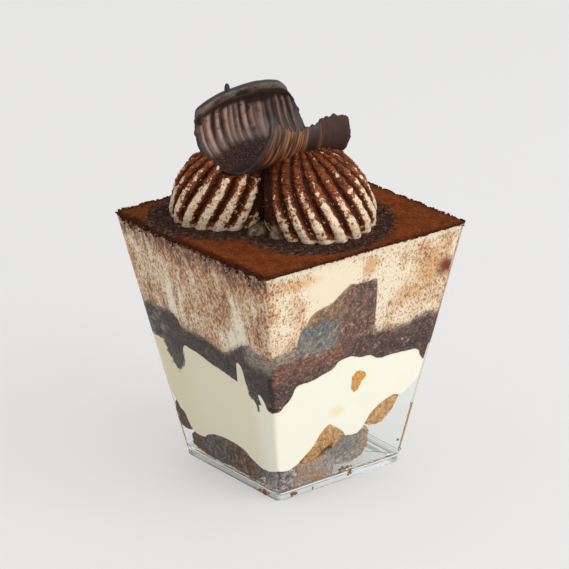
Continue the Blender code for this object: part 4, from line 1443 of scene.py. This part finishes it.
class TIRAMISU_OT_curl(bpy.types.Operator):
    """Makes the chocolate curl: ribbed inside, with a thick lip, torn edges and a scraped front"""

    bl_idname = "tiramisu.curl"
    bl_label = "Chocolate Curl"

    def execute(self, context):
        look, sizes = context.scene.tiramisu_look, context.scene.tiramisu_sizes
        curl = grid_slab("ribbed_curl", CURL_CELLS)
        points = points_of(curl)
        s, v = (points[:, 0] + 1) / 2, (points[:, 1] + 1) / 2
        outer = points[:, 2] > 0
        flat = np.stack([s * CURL_LONG, v * CURL_ROUND, outer * 0.0], 1)
        along_s, along_v = flat * (1, 0, 0), flat * (0, 1, 0)

        lip = 50 + 14 * np.sin(np.pi * s**1.2) - 9 * (2 * s - 1) ** 8
        front = 201 - 11 * s - 12 * bell(s, 0.35, 0.2)
        front += 7 * bell(s, 0.8, 0.13)
        torn = noise_at(along_s, 2.6, 21) * 4.5 + noise_at(along_s, 0.8, 22) * 3.5
        front += torn * smoothstep(0.8, 1.0, v)
        lip += noise_at(along_s, 4.0, 23) * 2.0 * smoothstep(0.2, 0.0, v)
        turned = np.radians(lip - (lip + front) * v)
        bulge = 4 * v * (1 - v)
        left = -16.1 + 11.5 * v - 2.3 * bulge
        right = 12.1 + 6.8 * v + 4.6 * bulge + 1.1 * bell(v, 0.17, 0.12)
        ragged = noise_at(along_v, 3.0, 24) * 0.4 + noise_at(along_v, 0.9, 25) * 0.25
        place = left + (right - left) * s + ragged * (smoothstep(0.1, 0.0, s) - smoothstep(0.9, 1.0, s))

        edge = np.minimum(np.minimum(s, 1 - s) * CURL_LONG, (1 - v) * CURL_ROUND)
        thick = 0.5 + 0.6 * np.sqrt(np.clip(edge / 0.7, 0, 1))
        thick += 1.25 * bell(v, 0.026, 0.03) * (1 + 0.3 * noise_at(along_s, 3.5, 32))
        thick *= np.sqrt(np.clip(1 - (1 - np.clip(v / 0.03, 0, 1)) ** 2, 0.02, 1))
        arch = 0.5 * bell(s, 0.62, 0.26) - 1.7 * bell(s, 0, 0.17)
        arch -= 0.7 * bell(s, 1, 0.1)
        radius = CURL_RADIUS / MM + 0.9 * np.maximum(0, 1 - v / 0.25) ** 2
        radius = radius + arch * smoothstep(0.32, 0.0, v)
        radius += np.where(outer, 0.5, -0.5) * thick

        wander = noise_at(flat * (0.35, 0.12, 0), 1.6, 26)
        across = s + 0.006 * wander + 0.03 * (v - 0.25)
        rib = sum(high * bell(across, at, wide) for at, wide, high in RIBS)
        top = 0.105 + 0.03 * noise_at(along_s, 1.7, 27) + 0.05 * bell(s, 0.62, 0.12)
        ribbed = smoothstep(0, 0.035, v - top) * smoothstep(0.50, 0.36, v) * ~outer
        radius -= ribbed * (np.clip(rib, 0, 1.2) - 0.3) * sizes.rib_depth / MM
        fine_ribs = noise_at(flat * (1, 0.05, 0), 0.5, 33)
        radius -= ribbed * fine_ribs * 0.10
        belt = smoothstep(0.36, 0.42, v + 0.02 * wander) * smoothstep(0.58, 0.50, v) * ~outer
        radius -= belt * (noise_at(flat, 0.6, 28) * 0.32 + 0.1)
        streaks = noise_at(flat * (1, 0.05, 0), 0.3, 29)
        broad = noise_at(flat * (1, 0.08, 0), 1.5, 30)
        radius += np.where(outer, (streaks * 0.08 + broad * 0.12) * smoothstep(0.5, 0.7, v), 0)
        radius += noise_at(flat, 2.2, 31) * 0.08

        local = np.stack([place, radius * np.cos(turned), radius * np.sin(turned)], 1) * MM
        turn = np.array(CURL_PLACE.to_3x3())
        placed = local @ turn.T + np.array(CURL_PLACE.translation)
        move_points(curl, placed)
        # the ribs' pale colour, partly painted highlight, fades to the right and down towards the belt
        fading = (1 - 0.6 * smoothstep(0.5, 0.72, s)) * (1 - 0.5 * smoothstep(0.26, 0.42, v))
        note(curl, "rib", ribbed * np.clip(rib + 0.5 * fine_ribs, 0, 1) * fading)
        note(curl, "crumbly", belt)
        note(curl, "lip", smoothstep(0.1, 0.05, v) * ~outer)
        scraped = outer * smoothstep(0.64, 0.76, v)
        # a painted highlight: a pale stripe down the ridge where the scraped front meets the flap, laid
        # into the worn mark
        stripe = bell(s, 0.64, 0.018)
        worn = scraped * smoothstep(0.52, 0.44, s) * smoothstep(-0.02, 0.1, s)
        note(curl, "worn", np.maximum(worn * smoothstep(0.66, 0.86, v), scraped * stripe * 0.7))
        note(curl, "streak", np.clip(0.26 + 1.5 * streaks + 0.5 * broad, 0, 1))
        note(curl, "matte", scraped * smoothstep(0.58, 0.66, s))
        stub = placed[np.argmin((s - 0.31) ** 2 + (v - 0.01) ** 2 + ~outer)]
        nib = start(
            bpy.ops.mesh.primitive_uv_sphere_add,
            "nib",
            segments=24,
            ring_count=16,
            radius=0.68 * MM,
            location=stub + (0, 0, 0.45 * MM),
            scale=(1, 1, 2.1),
        )
        roughen(nib, 0.8 * MM, 0.3 * MM)
        join(curl, nib)
        smooth(curl, 60)
        finish_piece(curl, dark_chocolate(look), "chocolate", "chocolate_curl")
        return {"FINISHED"}


def made(name):
    """A piece that an earlier operator has made."""
    piece = bpy.data.objects.get(name)
    if piece is None:
        raise RuntimeError(f"make {name} first")
    return piece


class TIRAMISU_OT_crumbs(bpy.types.Operator):
    """Scatters cocoa on the bed, the rim and the piped cream, and sponge crumbs on the cup's floor"""

    bl_idname = "tiramisu.crumbs"
    bl_label = "Loose Cocoa and Crumbs"

    def execute(self, context):
        look, sizes = context.scene.tiramisu_look, context.scene.tiramisu_sizes
        count = sizes.crumbs
        rng = np.random.default_rng(7)
        dry = loose_cocoa(look)
        dark = loose_cocoa(look, "dark_loose_cocoa", linear(74, 50, 40))
        bed = points_of(made("cocoa_bed"))
        on_top = bed[:, 2] > CUP_HEIGHT + 0.05 * MM
        off_foot = off_cream(bed[:, 0], bed[:, 1])
        shown = on_top * (off_foot > 0)
        picks = chosen(shown * (off_foot > 0.9 * sizes.wet_ring), count, rng)
        sprinkle("dry_grains", bed[picks], rng.uniform(0.08, 0.2, count) * MM, 1, dry, "cocoa")
        picks = chosen(shown * (off_foot < sizes.wet_ring), count, rng)
        sprinkle("wet_grains", bed[picks], rng.uniform(0.12, 0.34, count) * MM, 2, dark, "cocoa")
        self.rim_crumbs(count, rng, loose_cocoa(look, "rim_cocoa", linear(74, 36, 16)))
        for node in MOUNDS:
            self.mound_crumbs(node.replace("piped", "ridged"), count, rng, dry)
        self.floor_crumbs(rng, look)
        return {"FINISHED"}

    def rim_crumbs(self, count, rng, material):
        """Crumbs along the rim's outer edge and a little down its side, most at the back and left."""
        side = rng.choice(4, size=count, p=(0.12, 0.27, 0.27, 0.34))
        along_side = rng.uniform(-1, 1, count) * (CUP_TOP_HALF - 1.2 * MM)
        drop = np.choose(side, (0.15, 0.9, 0.9, 1.2)) * rng.exponential(0.8, count).clip(0, 2.5) * MM
        clumps = np.array([noise.noise((a / (3 * MM), s * 3.3, 0)) for a, s in zip(along_side, side)])
        drop *= np.clip(0.6 + 1.6 * clumps, 0.05, 1.5)
        z = CUP_HEIGHT + 0.3 * MM - drop
        off = np.minimum(cup_half(z), CUP_TOP_HALF) - rng.uniform(-0.12, 0.1, count) * MM
        x = np.select([side == 0, side == 1, side == 2, side == 3], [along_side, off, along_side, -off])
        y = np.select([side == 0, side == 1, side == 2, side == 3], [-off, along_side, off, along_side])
        cocoa = rng.uniform(0.12, 0.38, count) * MM
        sprinkle("rim_crumbs", np.stack([x, y, z], 1), cocoa, 3, material, "cocoa")

    def mound_crumbs(self, name, count, rng, material):
        mound = made(name)
        points = points_of(mound)
        dust = np.empty(len(points), np.float32)
        mound.data.attributes["dust"].data.foreach_get("value", dust)
        # Blender numbers a sphere's points differently in each run, so they are put in order first
        order = np.lexsort(points.round(6).T)
        points, dust = points[order], dust[order]
        picks = chosen(np.clip(dust - 0.3, 0, 1) ** 2, count, rng)
        cocoa = rng.uniform(0.09, 0.26, count) * MM
        sprinkle(name + "_crumbs", points[picks], cocoa, 4, material, "cocoa")

    def floor_crumbs(self, rng, look):
        """Sponge crumbs on the cup's floor, along its walls, and a few stuck to them."""
        finish = loose_cocoa(look, "loose_sponge", tuple(look.sponge_brown))
        places, sizes = [], []
        reach = (cup_half(FLOOR_TOP) - CUP_WALL) / MM
        rows = ((-18, -12, 18, 0), (-11, -4, 18, 0), (0, 4, 9, 0), (-18, -7, 26, 1))
        for first, last, count, side in rows:
            for _ in range(count):
                size = rng.uniform(0.25, 0.65)
                off = reach - rng.uniform(0.3, 1.0)
                spot = rng.uniform(first, last)
                place = (spot, -off) if side == 0 else (-off, spot)
                places.append((*place, FLOOR_TOP / MM + size * rng.uniform(0.4, 0.7)))
                sizes.append(size)
        for x, z, size in ((23.0, 17.0, 0.5), (22.8, 16.2, 0.35), (19.6, 6.7, 0.45), (18.9, 22.6, 0.4)):
            places.append((x, -(reach_half(z * MM, 0) / MM - 0.7 * size), z))
            sizes.append(size)
        # clusters stuck outside at the foot: place, height, spread along and up, count, size, side
        clusters = (
            (3.0, 2.2, 0.5, 0.9, 9, 0.42, 0), (-15.4, 1.3, 1.2, 0.45, 12, 0.45, 0),
            (20.0, 4.0, 0.1, 0.1, 1, 0.35, 0), (-9.6, 0.9, 0.4, 0.2, 3, 0.3, 0),
            (-15.2, 1.1, 1.3, 0.6, 18, 0.5, 1), (-11.5, 0.6, 0.7, 0.2, 4, 0.3, 1),
        )
        for middle, height, wide, high, count, size, side in clusters:
            for _ in range(count):
                spot = middle + rng.normal() * wide * 0.6
                z = max(height + rng.normal() * high * 0.6, 0.6 * size)
                off = cup_half(z * MM) / MM + 0.15 * size
                places.append((spot, -off, z) if side == 0 else (-off, spot, z))
                sizes.append(size * rng.uniform(0.6, 1.1))
        sprinkle("floor_crumbs", np.array(places) * MM, np.array(sizes) * MM, 5, finish, "sponge")


class TIRAMISU_OT_stage(bpy.types.Operator):
    """Lays the pale floor, hangs the lamps and sets up the camera"""

    bl_idname = "tiramisu.stage"
    bl_label = "Floor, Lamps and Camera"

    def execute(self, context):
        look, stage = context.scene.tiramisu_look, context.scene.tiramisu_stage
        floor = start(bpy.ops.mesh.primitive_plane_add, "floor", size=6, location=(0, 0, -0.05 * MM))
        floor.data.materials.append(plain_floor(look))
        self.lamp("key_lamp", stage.key, 1.9, (0.50, -1.30, 0.42))
        self.lamp("top_lamp", stage.top, 1.8, (0.2, 0.1, 1.25))
        world = bpy.data.worlds.new("room")
        world.use_nodes = True
        background = world.node_tree.nodes["Background"].inputs
        background["Color"].default_value = (1, 0.985, 0.96, 1)
        background["Strength"].default_value = stage.room
        context.scene.world = world
        self.camera(context, stage)
        context.scene.view_settings.view_transform = "Standard"
        cycles = context.scene.cycles
        cycles.max_bounces, cycles.glossy_bounces, cycles.transmission_bounces = 32, 16, 24
        return {"FINISHED"}

    def lamp(self, name, power, size, place):
        turn = (Vector((0, 0, CUP_HEIGHT / 2)) - Vector(place)).to_track_quat("-Z", "Y").to_euler()
        bpy.ops.object.light_add(type="AREA", location=place, rotation=turn)
        lamp = bpy.context.object
        lamp.name = name
        lamp.data.energy = power
        lamp.data.size = size

    def camera(self, context, stage):
        sin_a, cos_a = math.sin(stage.azimuth), math.cos(stage.azimuth)
        sin_e, cos_e = math.sin(stage.elevation), math.cos(stage.elevation)
        back = Vector((sin_a * cos_e, -cos_a * cos_e, sin_e))
        right = Vector((cos_a, sin_a, 0))
        up = back.cross(right)
        middle = Vector((0, 0, CUP_HEIGHT / 2)) + right * stage.aside + up * stage.above
        place = Matrix((right, up, back)).transposed().to_4x4()
        place = Matrix.Rotation(stage.roll, 4, back) @ place
        place.translation = middle + back * stage.distance
        bpy.ops.object.camera_add(location=place.translation, rotation=place.to_euler())
        camera = bpy.context.object
        camera.data.lens = stage.lens
        camera.data.sensor_width = 36
        context.scene.camera = camera


class TIRAMISU_PT_panel(bpy.types.Panel):
    """Lists the pieces and their settings"""

    bl_label = "Tiramisu Cup"
    bl_idname = "TIRAMISU_PT_panel"
    bl_space_type = "VIEW_3D"
    bl_region_type = "UI"
    bl_category = "Tiramisu"

    def draw(self, context):
        for operator in OPERATORS:
            self.layout.operator(operator.bl_idname)
        for group in ("tiramisu_look", "tiramisu_sizes", "tiramisu_stage"):
            settings = getattr(context.scene, group)
            box = self.layout.box()
            for name in settings.bl_rna.properties.keys():
                if name not in ("rna_type", "name"):
                    box.prop(settings, name)


GROUPS = {
    "tiramisu_look": TiramisuLook,
    "tiramisu_sizes": TiramisuSizes,
    "tiramisu_stage": TiramisuStage,
}
OPERATORS = (
    TIRAMISU_OT_cup,
    TIRAMISU_OT_layers,
    TIRAMISU_OT_sponge,
    TIRAMISU_OT_cocoa,
    TIRAMISU_OT_piped_cream,
    TIRAMISU_OT_curl,
    TIRAMISU_OT_crumbs,
    TIRAMISU_OT_stage,
)


def register():
    for cls in (*GROUPS.values(), *OPERATORS, TIRAMISU_PT_panel):
        bpy.utils.register_class(cls)
    for name, group in GROUPS.items():
        setattr(bpy.types.Scene, name, bpy.props.PointerProperty(type=group))


def unregister():
    for name in GROUPS:
        delattr(bpy.types.Scene, name)
    for cls in reversed((*GROUPS.values(), *OPERATORS, TIRAMISU_PT_panel)):
        bpy.utils.unregister_class(cls)


def main():
    register()
    for operator in OPERATORS:
        group, name = operator.bl_idname.split(".")
        getattr(getattr(bpy.ops, group), name)()


if __name__ == "__main__":
    main()
